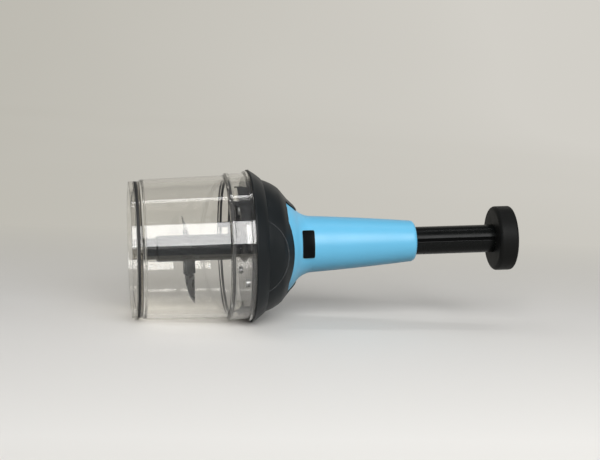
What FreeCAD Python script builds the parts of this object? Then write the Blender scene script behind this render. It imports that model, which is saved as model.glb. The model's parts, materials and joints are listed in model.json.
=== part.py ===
import FreeCAD, Part
import math
import os

import Sketcher

# Hand-pressed food chopper, lying on its side as it is left on a worktop.
# Every piece is drawn about its own axis: Z runs along the plunger from the bowl's base to the
# knob, X points up when the chopper lies down and Y points to the front. lay_down() then gives
# every piece the same Placement, which tips that axis onto the worktop.

doc = FreeCAD.newDocument("plunger_food_chopper")

# ---------------------------------------------------------------------------------------------
# Driving dimensions, in millimetres and degrees. Axial places are measured from the bowl's base.
# ---------------------------------------------------------------------------------------------
DIMENSIONS = {
    # clear bowl
    "foot_inset": 1.4,
    "foot_thick": 4.2,
    "foot_gap": 2.2,
    "foot_groove_deep": 2.6,
    "foot_upper_thick": 2.4,
    "foot_wall": 6.8,
    "bowl_low_rad": 57.2,
    "bowl_taper": 1.8,
    "bowl_wall": 3.4,
    "bowl_floor": 5.0,
    "foot_bevel": 0.4,
    "rest_land": 1.0,
    "rest_flat": 0.3,
    "rest_reach": 12.0,
    "ledge_at": 77.0,
    "ledge_rise": 1.8,
    "shelf_drop": 0.4,
    "bead_wide": 2.4,
    "bead_proud": 0.5,
    "collar_step": 1.3,
    "collar_wall": 2.5,
    "rim_proud": 1.7,
    "rim_thick": 2.7,
    "mouth_at": 96.9,
    "catch_deep": 1.5,
    "catch_thick": 2.4,
    "catch_at": 89.7,
    "catch_span": 20.0,
    "catch_offset": 32.0,
    "catch_count": 3,
    # pivot pin in the bowl's floor
    "pin_rad": 3.0,
    "pin_top": 26.0,
    "pin_sunk": 3.6,
    "boss_rad": 8.4,
    "boss_high": 0.9,
    "under_boss": 2.0,
    "running_gap": 0.06,
    "part_gap": 0.3,
    "seat_gap": 0.1,
    # blade unit
    "foot_bush_rad": 8.7,
    "foot_bush_skirt_rad": 10.0,
    "foot_bush_skirt": 2.2,
    "neck_top": 21.3,
    "shaft_rad": 10.7,
    "carrier_from": 40.2,
    "carrier_to": 54.6,
    "carrier_rad": 10.9,
    "shaft_flange_rad": 12.8,
    "shaft_flange_thick": 1.6,
    "shaft_top": 84.6,
    "shaft_wall": 2.4,
    "shaft_round": 2.6,
    "seam_at": 50.0,
    "seam_deep": 0.35,
    "slit_long": 8.2,
    "slit_wide": 0.8,
    "slit_deep": 0.9,
    "slit_turn": 117.0,
    "slit_lean": -15.0,
    "slit_at": 44.8,
    "seam_wide": 0.5,
    "spigot_long": 6.0,
    "head_rad": 8.9,
    "head_wall": 3.6,
    "head_top": 90.6,
    "tooth_count": 8,
    "clutch_tooth": 1.8,
    "clutch_gap": 0.4,
    "blade_thick": 1.0,
    "tip_room": 7.2,
    "blade_root": 12.0,
    "blade_chord": 13.4,
    "lower_blade_pitch": 37.0,
    "upper_blade_pitch": -27.0,
    "blade_sweep_rad": 38.0,
    "arm_reach": 21.4,
    "arm_thick": 3.6,
    "lower_blade_at": 48.1,
    "upper_blade_at": 48.9,
    "lower_blade_turn": 172.0,
    "upper_blade_turn": 288.0,
    # lid
    "lid_rim_proud": 1.0,
    "lid_rim_thick": 1.2,
    "lid_rim_bevel": 0.35,
    "band_top_at": 107.6,
    "band_top_rad": 56.0,
    "band_curve": 60.0,
    "dome_step": 1.2,
    "dome_step_rise": 0.5,
    "dome_mid_at": 118.9,
    "dome_mid_rad": 49.9,
    "dome_low_curve": 45.0,
    "dome_turn_at": 123.4,
    "dome_turn_rad": 46.0,
    "dome_turn_curve": 16.3,
    "kink_at": 129.0,
    "kink_rad": 39.0,
    "lobe_at": 134.1,
    "lobe_rad": 34.1,
    "lobe_curve": 12.0,
    "lobe_tip_rad": 29.3,
    "pad_top_at": 130.5,
    "dome_wall": 2.6,
    "pad_arch_rad": 79.0,
    "pad_half": 27.0,
    "tongue_half": 15.0,
    "tongue_top_at": 137.2,
    "crescent_rad": 33.0,
    "crescent_at": 93.0,
    "crescent_wide": 0.9,
    "crescent_proud": 0.6,
    "plate_at": 93.5,
    "plate_thick": 2.6,
    "plate_room": 0.8,
    "hub_cone_rad": 13.8,
    "hub_cone_high": 3.4,
    "hub_cone_lip": 1.3,
    "skirt_gap": 2.2,
    "skirt_wall": 2.0,
    "skirt_from": 86.0,
    "skirt_span": 37.0,
    "skirt_turn": 40.5,
    "seal_hook_span": 5.0,
    "seal_hook_thick": 1.1,
    "seal_hook_reach": 0.9,
    "lug_deep": 1.5,
    "lug_thick": 2.2,
    "lug_from": 87.0,
    "lug_span": 16.0,
    "ring_wall_top": 100.7,
    "gasket_thick": 2.3,
    "gasket_wide": 3.2,
    "bearing_hub_rad": 12.0,
    "bearing_hub_top": 105.6,
    "bearing_rad": 8.0,
    "bearing_from": 97.4,
    "post_ring_rad": 36.0,
    "post_rad": 3.9,
    "post_count": 4,
    "post_turn": 45.0,
    "screw_rad": 1.7,
    "screw_head_rad": 3.2,
    "screw_head_thick": 1.7,
    "screw_long": 16.0,
    # handle
    "flange_at": 118.0,
    "flange_thick": 2.8,
    "flare_edge_rad": 46.8,
    "flare_bend_at": 128.0,
    "flare_bend_rad": 38.6,
    "flare_mid_at": 134.8,
    "flare_mid_rad": 31.3,
    "flare_bend_curve": 38.0,
    "neck_at": 148.2,
    "neck_rad": 23.5,
    "neck_curve": 20.0,
    "handle_end_at": 237.2,
    "handle_end_rad": 17.2,
    "handle_curve": 2200.0,
    "handle_end_round": 3.6,
    "handle_wall": 1.8,
    "handle_ledge_thick": 2.5,
    "mouth_rad": 12.3,
    "guide_from": 226.7,
    "guide_to": 234.7,
    "guide_rad": 14.0,
    "label_from": 138.6,
    "label_to": 149.6,
    "label_half": 11.4,
    "label_thick": 0.5,
    "label_turn": 79.5,
    # plunger
    "tube_rad": 11.7,
    "tube_bore": 9.9,
    "tube_from": 171.0,
    "tube_to": 311.0,
    "groove_to": 305.0,
    "groove_count": 2,
    "groove_wide": 2.4,
    "groove_deep": 1.1,
    "groove_turn": 79.5,
    "nut_long": 9.0,
    "nut_lip": 1.4,
    "knob_rad": 27.1,
    "knob_from": 305.6,
    "knob_to": 321.6,
    "knob_round": 3.2,
    "knob_wall": 1.9,
    "knob_back_round": 2.4,
    "cap_thick": 1.6,
    "spring_seat_at": 297.0,
    "spring_seat_thick": 3.0,
    "travel": 60.0,
    # drive screw and spring
    "journal_rad": 4.0,
    "driver_to": 97.0,
    "collar_from": 106.6,
    "collar_thick": 2.0,
    "collar_wide_rad": 6.6,
    "washer_thick": 0.8,
    "twist_from": 108.5,
    "twist_to": 190.0,
    "twist_wide": 8.4,
    "twist_thick": 2.6,
    "twist_lead": 40.0,
    "twist_play": 0.12,
    "stop_rad": 9.0,
    "stop_thick": 2.0,
    "rivet_rad": 2.0,
    "rivet_head_rad": 3.2,
    "spring_rad": 7.2,
    "spring_wire": 0.5,
    "spring_turns": 11,
}


class Size:
    """A number together with the spreadsheet expression that it comes from."""

    def __init__(self, value, text):
        self.value = float(value)
        self.text = text

    def join(self, other, sign, value):
        return Size(value, "(%s %s %s)" % (self.text, sign, other.text))

    def __add__(self, other):
        other = as_size(other)
        return self.join(other, "+", self.value + other.value)

    def __sub__(self, other):
        other = as_size(other)
        return self.join(other, "-", self.value - other.value)

    def __mul__(self, other):
        other = as_size(other)
        return self.join(other, "*", self.value * other.value)

    def __truediv__(self, other):
        other = as_size(other)
        return self.join(other, "/", self.value / other.value)

    def root(self):
        return Size(math.sqrt(self.value), "sqrt(%s)" % self.text)

    def __neg__(self):
        return Size(-self.value, "(0 - %s)" % self.text)

    __radd__ = __add__
    __rmul__ = __mul__


def as_size(thing):
    return thing if isinstance(thing, Size) else Size(thing, repr(float(thing)))


class Sizes:
    """The spreadsheet of driving dimensions, read by name."""

    def __init__(self, document, dimensions):
        self.sheet = document.addObject("Spreadsheet::Sheet", "sizes")
        for row, (name, number) in enumerate(dimensions.items(), start=1):
            self.sheet.set("A%d" % row, name)
            self.sheet.set("B%d" % row, str(number))
            self.sheet.setAlias("B%d" % row, name)
        document.recompute()
        for name in dimensions:
            setattr(self, name, Size(self.sheet.get(name), "sizes." + name))


S = Sizes(doc, DIMENSIONS)
parts = []


# ---------------------------------------------------------------------------------------------
# Sketches whose every point is bound to the spreadsheet
# ---------------------------------------------------------------------------------------------
def bind(sketch, kind, *where, size):
    """A driving constraint whose value is an expression of the sheet."""
    at = sketch.addConstraint(Sketcher.Constraint(kind, *where, size.value))
    sketch.setExpression("Constraints[%d]" % at, size.text)


def pin_point(sketch, geo, end, across, along):
    """Hold one end of a line or arc at (across, along) from the sketch's origin."""
    for kind, size, axis in (("DistanceX", as_size(across), -2), ("DistanceY", as_size(along), -1)):
        if size.value == 0:
            sketch.addConstraint(Sketcher.Constraint("PointOnObject", geo, end, axis))
        else:
            bind(sketch, kind, -1, 1, geo, end, size=size)


def arc_between(start, finish, radius):
    """The arc of a signed radius from start to finish: positive bulges to the left of the way."""
    middle = (start + finish) * 0.5
    chord = finish - start
    left = FreeCAD.Vector(-chord.y, chord.x, 0).normalize()
    reach = abs(radius)
    rise = reach - math.sqrt(max(reach * reach - (chord.Length / 2) ** 2, 0))
    crown = middle + left * math.copysign(rise, radius)
    return Part.Arc(start, crown, finish)


def outline(body, name, plane, points):
    """A closed sketch on one of the body's own planes.

    points holds (across, along) or (across, along, radius), where radius bends the stretch from
    that point to the next into an arc.
    """
    sketch = body.newObject("Sketcher::SketchObject", name)
    base = [f for f in body.Origin.OriginFeatures if f.Role == plane][0]
    sketch.AttachmentSupport = [(base, "")]
    sketch.MapMode = "FlatFace"
    draw(sketch, points)
    return sketch


def draw(sketch, points):
    places = [FreeCAD.Vector(as_size(p[0]).value, as_size(p[1]).value, 0) for p in points]
    count = len(points)
    first = sketch.GeometryCount
    ends = []
    for at, point in enumerate(points):
        start, finish = places[at], places[(at + 1) % count]
        if len(point) == 3:
            radius = as_size(point[2])
            arc = arc_between(start, finish, radius.value)
            geo = sketch.addGeometry(arc, False)
            circle = arc.toShape().Curve
            turns_left = circle.Axis.z > 0
            ends.append((1, 2) if turns_left else (2, 1))
        else:
            geo = sketch.addGeometry(Part.LineSegment(start, finish), False)
            ends.append((1, 2))
    for at, point in enumerate(points):
        pin_point(sketch, first + at, ends[at][0], point[0], point[1])
    for at in range(count):
        after = (at + 1) % count
        joint = Sketcher.Constraint("Coincident", first + at, ends[at][1], first + after, ends[after][0])
        sketch.addConstraint(joint)
    for at, point in enumerate(points):
        if len(point) == 3:
            radius = as_size(point[2])
            size = radius if radius.value > 0 else -radius
            bind(sketch, "Radius", first + at, size=size)
    return sketch


def new_body(label):
    body = doc.addObject("PartDesign::Body", label + "_body")
    body.Label = label
    return body


def revolve(body, name, points, span=None):
    """A revolution about the piece's own axis, of an outline of (radius, height) points."""
    sketch = outline(body, name + "_outline", "XZ_Plane", points)
    feature = body.newObject("PartDesign::Revolution", name)
    feature.Profile = sketch
    feature.ReferenceAxis = (sketch, ["V_Axis"])
    if span is None:
        feature.Angle = 360.0
    else:
        feature.Midplane = True
        feature.setExpression("Angle", span.text)
    sketch.Visibility = False
    return feature


def turned(label, points):
    """A piece that is one revolution."""
    body = new_body(label)
    revolve(body, label + "_turning", points)
    parts.append(body)
    return body


def keep(feature, label):
    feature.Label = label
    parts.append(feature)
    return feature


def fused(name, pieces):
    joined = doc.addObject("Part::MultiFuse", name)
    joined.Shapes = pieces
    joined.Refine = True
    return joined


def cut(name, base, tool):
    result = doc.addObject("Part::Cut", name)
    result.Base = base
    result.Tool = tool
    result.Refine = True
    return result


def common(name, pieces):
    shared = doc.addObject("Part::MultiCommon", name)
    shared.Shapes = pieces
    shared.Refine = True
    return shared


def plain_sketch(name, points, turn=0.0):
    """A free sketch in the plane of the axis, turned about the axis by some degrees."""
    sketch = doc.addObject("Sketcher::SketchObject", name)
    draw(sketch, points)
    spin = FreeCAD.Rotation(FreeCAD.Vector(0, 0, 1), turn)
    stand = FreeCAD.Rotation(FreeCAD.Vector(1, 0, 0), 90)
    sketch.Placement = FreeCAD.Placement(FreeCAD.Vector(), spin.multiply(stand))
    return sketch


def ring(name, points, span=None, turn=0.0):
    """A free revolution, used inside a boolean; with a span it is a segment centred on turn."""
    start = turn - (span.value / 2 if span is not None else 0)
    sketch = plain_sketch(name + "_outline", points, start)
    solid = doc.addObject("Part::Revolution", name)
    solid.Source = sketch
    solid.Axis = FreeCAD.Vector(0, 0, 1)
    solid.Solid = True
    if span is None:
        solid.Angle = 360
    else:
        solid.setExpression("Angle", span.text)
    return solid


def rod(name, radius, low, high, across=0.0, turn=0.0):
    """A cylinder along the axis, or beside it at a distance and an angle."""
    solid = doc.addObject("Part::Cylinder", name)
    solid.setExpression("Radius", as_size(radius).text)
    solid.setExpression("Height", (as_size(high) - as_size(low)).text)
    reach = as_size(across).value
    side = math.radians(turn)
    place = FreeCAD.Vector(reach * math.cos(side), reach * math.sin(side), as_size(low).value)
    solid.Placement = FreeCAD.Placement(place, FreeCAD.Rotation())
    return solid


# ---------------------------------------------------------------------------------------------
# Heights and radii that follow from the driving dimensions
# ---------------------------------------------------------------------------------------------
floor_at = S.foot_thick + S.foot_gap + S.foot_upper_thick
floor_under = floor_at - S.bowl_floor
shelf_at = S.ledge_at + S.ledge_rise - S.shelf_drop
foot_rad = S.bowl_low_rad - S.foot_inset
recess_rad = foot_rad - S.foot_wall
bowl_high_rad = S.bowl_low_rad + S.bowl_taper
collar_rad = bowl_high_rad + S.collar_step
collar_bore = collar_rad - S.collar_wall
rim_rad = collar_rad + S.rim_proud
lid_rim_rad = rim_rad + S.lid_rim_proud
skirt_rad = collar_bore - S.skirt_gap
plate_rad = collar_bore - S.plate_room
rest_low = floor_at + S.ledge_rise
rest_high = S.mouth_at + S.seat_gap
rest_slope = (lid_rim_rad - S.bowl_low_rad) / (rest_high - rest_low)
blade_reach = S.bowl_low_rad - S.bowl_wall - S.tip_room
bush_foot_at = floor_at + S.boss_high + S.part_gap
pin_bore = S.pin_rad + S.running_gap
arch_foot_at = S.pad_top_at - S.pad_arch_rad + (S.pad_arch_rad * S.pad_arch_rad - S.pad_half * S.pad_half).root()
tongue_rise = S.tongue_top_at - arch_foot_at
tongue_curve = (S.tongue_half * S.tongue_half + tongue_rise * tongue_rise) / (2 * tongue_rise)
clutch_from = S.head_top + S.clutch_gap
driver_bore = S.head_rad + S.clutch_gap
beyond = S.tongue_top_at + S.pad_half
spring_from = S.twist_to + S.stop_thick


def around(count, first=0.0):
    """Equal angles round the axis, from the first."""
    number = int(as_size(count).value)
    return [as_size(first).value + 360.0 * at / number for at in range(number)]


def radial_place(turn, height, pitch=0.0):
    """A frame whose X points outward at an angle round the axis, pitched about that X."""
    spin = FreeCAD.Rotation(FreeCAD.Vector(0, 0, 1), as_size(turn).value)
    lean = FreeCAD.Rotation(FreeCAD.Vector(1, 0, 0), as_size(pitch).value)
    return FreeCAD.Placement(FreeCAD.Vector(0, 0, as_size(height).value), spin.multiply(lean))


def block(name, place, low, high):
    """A box from one corner to the other, in a frame of its own."""
    solid = doc.addObject("Part::Box", name)
    for side, start, finish in zip(("Length", "Width", "Height"), low, high):
        solid.setExpression(side, (as_size(finish) - as_size(start)).text)
    corner = FreeCAD.Vector(*[as_size(edge).value for edge in low])
    solid.Placement = place.multiply(FreeCAD.Placement(corner, FreeCAD.Rotation()))
    return solid


def slab(name, points, direction, reach, both=True):
    """A closed outline drawn across the axis view and pushed along X or Y."""
    turn = 90.0 if direction == "X" else 0.0
    sketch = plain_sketch(name + "_outline", points, turn)
    solid = doc.addObject("Part::Extrusion", name)
    solid.Base = sketch
    solid.DirMode = "Normal"
    solid.Solid = True
    solid.Symmetric = both
    solid.setExpression("LengthFwd", as_size(reach).text)
    return solid


def flattened(name, base, radius, along):
    """The piece with a shallow flat where it rests on the worktop, which keeps it from rolling."""
    lean = FreeCAD.Rotation(FreeCAD.Vector(0, 1, 0), -math.degrees(math.atan(rest_slope.value)))
    place = FreeCAD.Placement(FreeCAD.Vector(-radius.value, 0, along.value), lean)
    half = foot_rad / 2
    worktop = block(name + "_worktop", place, (-S.bowl_wall, -half, -S.rest_reach), (S.rest_flat, half, S.rest_reach))
    return cut(name, base, worktop)


# ---------------------------------------------------------------------------------------------
# Bowl
# ---------------------------------------------------------------------------------------------
def make_bowl():
    foot_top = S.foot_thick + S.foot_gap
    groove_rad = foot_rad - S.foot_groove_deep
    ledge_top = S.ledge_at + S.ledge_rise
    wall = ring("bowl_wall_turning", [
        (recess_rad, 0),
        (foot_rad, 0),
        (foot_rad, S.foot_thick),
        (groove_rad, S.foot_thick),
        (groove_rad, foot_top),
        (foot_rad, foot_top),
        (foot_rad, floor_at - S.foot_bevel),
        (S.bowl_low_rad - rest_slope * S.rest_land, rest_low - S.rest_land),
        (S.bowl_low_rad + rest_slope * S.rest_land, rest_low + S.rest_land),
        (bowl_high_rad, S.ledge_at),
        (collar_rad, ledge_top),
        (collar_rad + S.bead_proud, ledge_top),
        (collar_rad + S.bead_proud, ledge_top + S.bead_wide),
        (collar_rad, ledge_top + S.bead_wide),
        (collar_rad, S.mouth_at - S.rim_thick),
        (rim_rad, S.mouth_at - S.rim_thick),
        (rim_rad, S.mouth_at),
        (collar_bore, S.mouth_at),
        (collar_bore, shelf_at),
        (bowl_high_rad - S.bowl_wall, shelf_at),
        (S.bowl_low_rad - S.bowl_wall, floor_at + S.bowl_wall, S.bowl_wall),
        (S.bowl_low_rad - S.bowl_wall - S.bowl_wall, floor_at),
        (S.boss_rad, floor_at),
        (S.boss_rad, floor_at + S.boss_high),
        (S.pin_rad, floor_at + S.boss_high),
        (S.pin_rad, floor_at - S.pin_sunk),
        (0, floor_at - S.pin_sunk),
        (0, floor_under - S.under_boss),
        (S.boss_rad, floor_under - S.under_boss),
        (S.boss_rad, floor_under),
        (recess_rad, floor_under),
    ])
    pieces = [wall]
    for at, turn in enumerate(around(S.catch_count, S.skirt_turn + S.catch_offset)):
        catch = ring("bowl_catch_%d" % at, [
            (collar_bore - S.catch_deep, S.catch_at),
            (collar_bore + S.seat_gap, S.catch_at),
            (collar_bore + S.seat_gap, S.catch_at + S.catch_thick + S.catch_deep),
            (collar_bore - S.catch_deep, S.catch_at + S.catch_thick),
        ], S.catch_span, turn)
        pieces.append(catch)
    return keep(flattened("bowl_rest", fused("bowl_fused", pieces), S.bowl_low_rad, rest_low), "bowl")


def make_base_ring():
    inner = foot_rad - S.foot_groove_deep + S.seat_gap
    return turned("base_ring", [
        (inner, S.foot_thick),
        (foot_rad - S.seat_gap, S.foot_thick),
        (foot_rad - S.seat_gap, S.foot_thick + S.foot_gap),
        (inner, S.foot_thick + S.foot_gap),
    ])


def make_pivot_pin():
    tip = S.pin_rad / 2
    return turned("pivot_pin", [
        (0, floor_at - S.pin_sunk),
        (S.pin_rad, floor_at - S.pin_sunk),
        (S.pin_rad, S.pin_top - tip, -tip),
        (tip, S.pin_top),
        (0, S.pin_top),
    ])


# ---------------------------------------------------------------------------------------------
# Blade unit
# ---------------------------------------------------------------------------------------------
def make_foot_bush():
    skirt_top = bush_foot_at + S.foot_bush_skirt
    return turned("foot_bush", [
        (pin_bore, bush_foot_at),
        (S.foot_bush_skirt_rad, bush_foot_at),
        (S.foot_bush_skirt_rad, skirt_top),
        (S.foot_bush_rad, skirt_top),
        (S.foot_bush_rad, S.neck_top),
        (S.shaft_rad - S.shaft_round / 2, S.neck_top, -S.shaft_round),
        (S.shaft_rad, S.neck_top + S.shaft_round),
        (S.shaft_rad, S.carrier_from),
        (0, S.carrier_from),
        (0, S.pin_top + S.part_gap),
        (pin_bore, S.pin_top + S.part_gap),
    ])


def make_blade_carrier():
    bore = S.shaft_rad - S.shaft_wall
    hub = ring("carrier_hub", [
        (bore, S.carrier_from),
        (S.carrier_rad, S.carrier_from),
        (S.carrier_rad, S.seam_at),
        (S.carrier_rad - S.seam_deep, S.seam_at),
        (S.carrier_rad - S.seam_deep, S.seam_at + S.seam_wide),
        (S.carrier_rad, S.seam_at + S.seam_wide),
        (S.carrier_rad, S.carrier_to),
        (bore, S.carrier_to),
    ])
    arms = []
    slots = []
    half = S.blade_chord / 2
    thick = S.blade_thick / 2
    for name, turn, height, pitch in (
        ("lower", S.lower_blade_turn, S.lower_blade_at, S.lower_blade_pitch),
        ("upper", S.upper_blade_turn, S.upper_blade_at, S.upper_blade_pitch),
    ):
        place = radial_place(turn, height, pitch)
        arms.append(block("%s_arm" % name, place,
                          (bore + S.seat_gap, -half + S.seat_gap, -(S.arm_thick / 2)),
                          (S.arm_reach, half - S.seat_gap, S.arm_thick / 2)))
        slots.append(block("%s_slot" % name, place,
                           (S.blade_root, -half - S.part_gap, -thick - S.seat_gap / 2),
                           (blade_reach, half + S.part_gap, thick + S.seat_gap / 2)))
    slots.append(block("carrier_slit", radial_place(S.slit_turn, S.slit_at, S.slit_lean),
                       (S.carrier_rad - S.slit_deep, -S.slit_wide / 2, -S.slit_long / 2),
                       (S.carrier_rad + S.slit_deep, S.slit_wide / 2, S.slit_long / 2)))
    solid = fused("carrier_with_arms", [hub] + arms)
    return keep(cut("carrier_slotted", solid, fused("blade_slots", slots)), "blade_carrier")


def make_blade(label, turn, height, pitch):
    """A flat sickle: straight along its back, swept to a point along its cutting edge."""
    body = new_body(label)
    half = S.blade_chord / 2
    sketch = outline(body, label + "_outline", "XY_Plane", [
        (S.blade_root, -half),
        (S.arm_reach, -half, -S.blade_sweep_rad),
        (blade_reach, half),
        (S.blade_root, half),
    ])
    pad = body.newObject("PartDesign::Pad", label + "_plate")
    pad.Profile = sketch
    pad.Midplane = True
    pad.setExpression("Length", S.blade_thick.text)
    body.Placement = radial_place(turn, height, pitch)
    parts.append(body)
    return body


def make_shaft_sleeve():
    bore = S.shaft_rad - S.shaft_wall
    flange_at = S.shaft_top - S.shaft_flange_thick
    return turned("shaft_sleeve", [
        (bore, S.carrier_to),
        (S.shaft_rad, S.carrier_to),
        (S.shaft_rad, flange_at),
        (S.shaft_flange_rad, flange_at),
        (S.shaft_flange_rad, S.shaft_top),
        (bore, S.shaft_top),
    ])


def crown(label, points, face_at, depth):
    """A revolved ring whose one face is cut into saw teeth, the ratchet of the one-way drive."""
    body = new_body(label)
    revolve(body, label + "_turning", points)
    pitch = S.head_rad * (math.pi / S.tooth_count.value)
    outer = as_size(face_at)
    notch = outline(body, label + "_notch", "XZ_Plane", [
        (-pitch / 2, outer),
        (pitch / 2, outer),
        (-pitch / 2, outer + depth),
    ])
    pocket = body.newObject("PartDesign::Pocket", label + "_tooth_gap")
    pocket.Profile = notch
    pocket.Type = "ThroughAll"
    doc.recompute()
    pattern = body.newObject("PartDesign::PolarPattern", label + "_teeth")
    pattern.Originals = [pocket]
    axis = [f for f in body.Origin.OriginFeatures if f.Role == "Z_Axis"][0]
    pattern.Axis = (axis, [""])
    pattern.Angle = 360.0
    pattern.setExpression("Occurrences", S.tooth_count.text)
    body.Tip = pattern
    parts.append(body)
    return body


def make_drive_head():
    bore = S.shaft_rad - S.shaft_wall - S.seat_gap
    inner = S.head_rad - S.head_wall
    return crown("drive_head", [
        (inner, S.shaft_top - S.spigot_long),
        (bore, S.shaft_top - S.spigot_long),
        (bore, S.shaft_top),
        (S.head_rad, S.shaft_top),
        (S.head_rad, S.head_top),
        (inner, S.head_top),
    ], S.head_top, -S.clutch_tooth)


# ---------------------------------------------------------------------------------------------
# Lid
# ---------------------------------------------------------------------------------------------
def make_lid_gasket():
    outer = collar_bore - S.part_gap
    low = shelf_at + S.seat_gap
    return turned("lid_gasket", [
        (outer - S.gasket_wide, low),
        (outer, low),
        (outer - S.part_gap, low + S.gasket_thick / 2),
        (outer, low + S.gasket_thick),
        (outer - S.gasket_wide, low + S.gasket_thick),
    ])


def post_rods(name, radius, low, high):
    turns = around(S.post_count, S.post_turn)
    return [rod("%s_%d" % (name, at), radius, low, high, S.post_ring_rad, turn)
            for at, turn in enumerate(turns)]


def seal_hook(name, turn):
    """A leg that hangs inside the seal ring, with a toe under it, so that the lid lifts the seal."""
    inner = collar_bore - S.part_gap - S.gasket_wide
    leg_out = inner - S.part_gap
    toe_top = shelf_at - S.seat_gap
    return ring(name, [
        (leg_out - S.seal_hook_thick, toe_top - S.seal_hook_thick),
        (inner + S.seal_hook_reach, toe_top - S.seal_hook_thick),
        (inner + S.seal_hook_reach, toe_top),
        (leg_out, toe_top),
        (leg_out, S.skirt_from + S.lug_thick),
        (leg_out - S.seal_hook_thick, S.skirt_from + S.lug_thick),
    ], S.seal_hook_span, turn)


def make_lid_underside():
    plate_top = S.plate_at + S.plate_thick
    hub_bore = S.bearing_rad
    plate = ring("underside_turning", [
        (driver_bore, S.plate_at - S.hub_cone_high),
        (driver_bore + S.hub_cone_lip, S.plate_at - S.hub_cone_high),
        (S.hub_cone_rad, S.plate_at),
        (plate_rad, S.plate_at),
        (plate_rad, plate_top),
        (skirt_rad, plate_top),
        (skirt_rad, S.ring_wall_top),
        (skirt_rad - S.skirt_wall, S.ring_wall_top),
        (skirt_rad - S.skirt_wall, plate_top),
        (S.bearing_hub_rad, plate_top),
        (S.bearing_hub_rad, S.bearing_hub_top),
        (hub_bore, S.bearing_hub_top),
        (hub_bore, S.bearing_from),
        (driver_bore, S.bearing_from),
    ])
    pieces = [plate]
    for at, turn in enumerate(around(S.catch_count, S.skirt_turn)):
        pieces.append(ring("skirt_panel_%d" % at, [
            (skirt_rad - S.skirt_wall, S.skirt_from),
            (skirt_rad, S.skirt_from),
            (skirt_rad, S.plate_at + S.seat_gap),
            (skirt_rad - S.skirt_wall, S.plate_at + S.seat_gap),
        ], S.skirt_span, turn))
        pieces.append(ring("skirt_lug_%d" % at, [
            (skirt_rad - S.seat_gap, S.lug_from),
            (skirt_rad + S.lug_deep, S.lug_from),
            (skirt_rad + S.lug_deep, S.lug_from + S.lug_thick),
            (skirt_rad - S.seat_gap, S.lug_from + S.lug_thick),
        ], S.lug_span, turn))
        pieces.append(seal_hook("seal_hook_%d" % at, turn))
    holes = post_rods("underside_screw_hole", S.screw_rad + S.seat_gap, S.plate_at - 1, plate_top + 1)
    return keep(cut("underside_drilled", fused("underside_solid", pieces), fused("underside_holes", holes)),
                "lid_underside")


def flare_outline(extra=0.0):
    """The handle's outside, with an allowance on its radius, from its lower edge to its end."""
    shoulder = S.handle_end_at - S.handle_end_round
    return [
        (S.flare_edge_rad + extra, S.flange_at),
        (S.flare_edge_rad + extra, S.flange_at + S.flange_thick / 2),
        (S.flare_bend_rad + extra, S.flare_bend_at, -S.flare_bend_curve),
        (S.flare_mid_rad + extra, S.flare_mid_at, S.neck_curve),
        (S.neck_rad + extra, S.neck_at, -S.handle_curve),
        (S.handle_end_rad + extra, shoulder, -S.handle_end_round),
        (S.handle_end_rad + extra - S.handle_end_round, S.handle_end_at),
    ]


def handle_envelope(name, extra=0.0):
    return ring(name, flare_outline(extra) + [(0, S.handle_end_at), (0, S.flange_at)])


def dome_outline(extra=0.0):
    """The dome's outside from the rim's band to the tip of the lobes."""
    return [
        (S.band_top_rad - S.dome_step + extra, S.band_top_at + S.dome_step_rise, -S.dome_low_curve),
        (S.dome_mid_rad + extra, S.dome_mid_at, -S.dome_turn_curve),
        (S.dome_turn_rad + extra, S.dome_turn_at),
        (S.kink_rad + extra, S.kink_at),
    ]


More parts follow.
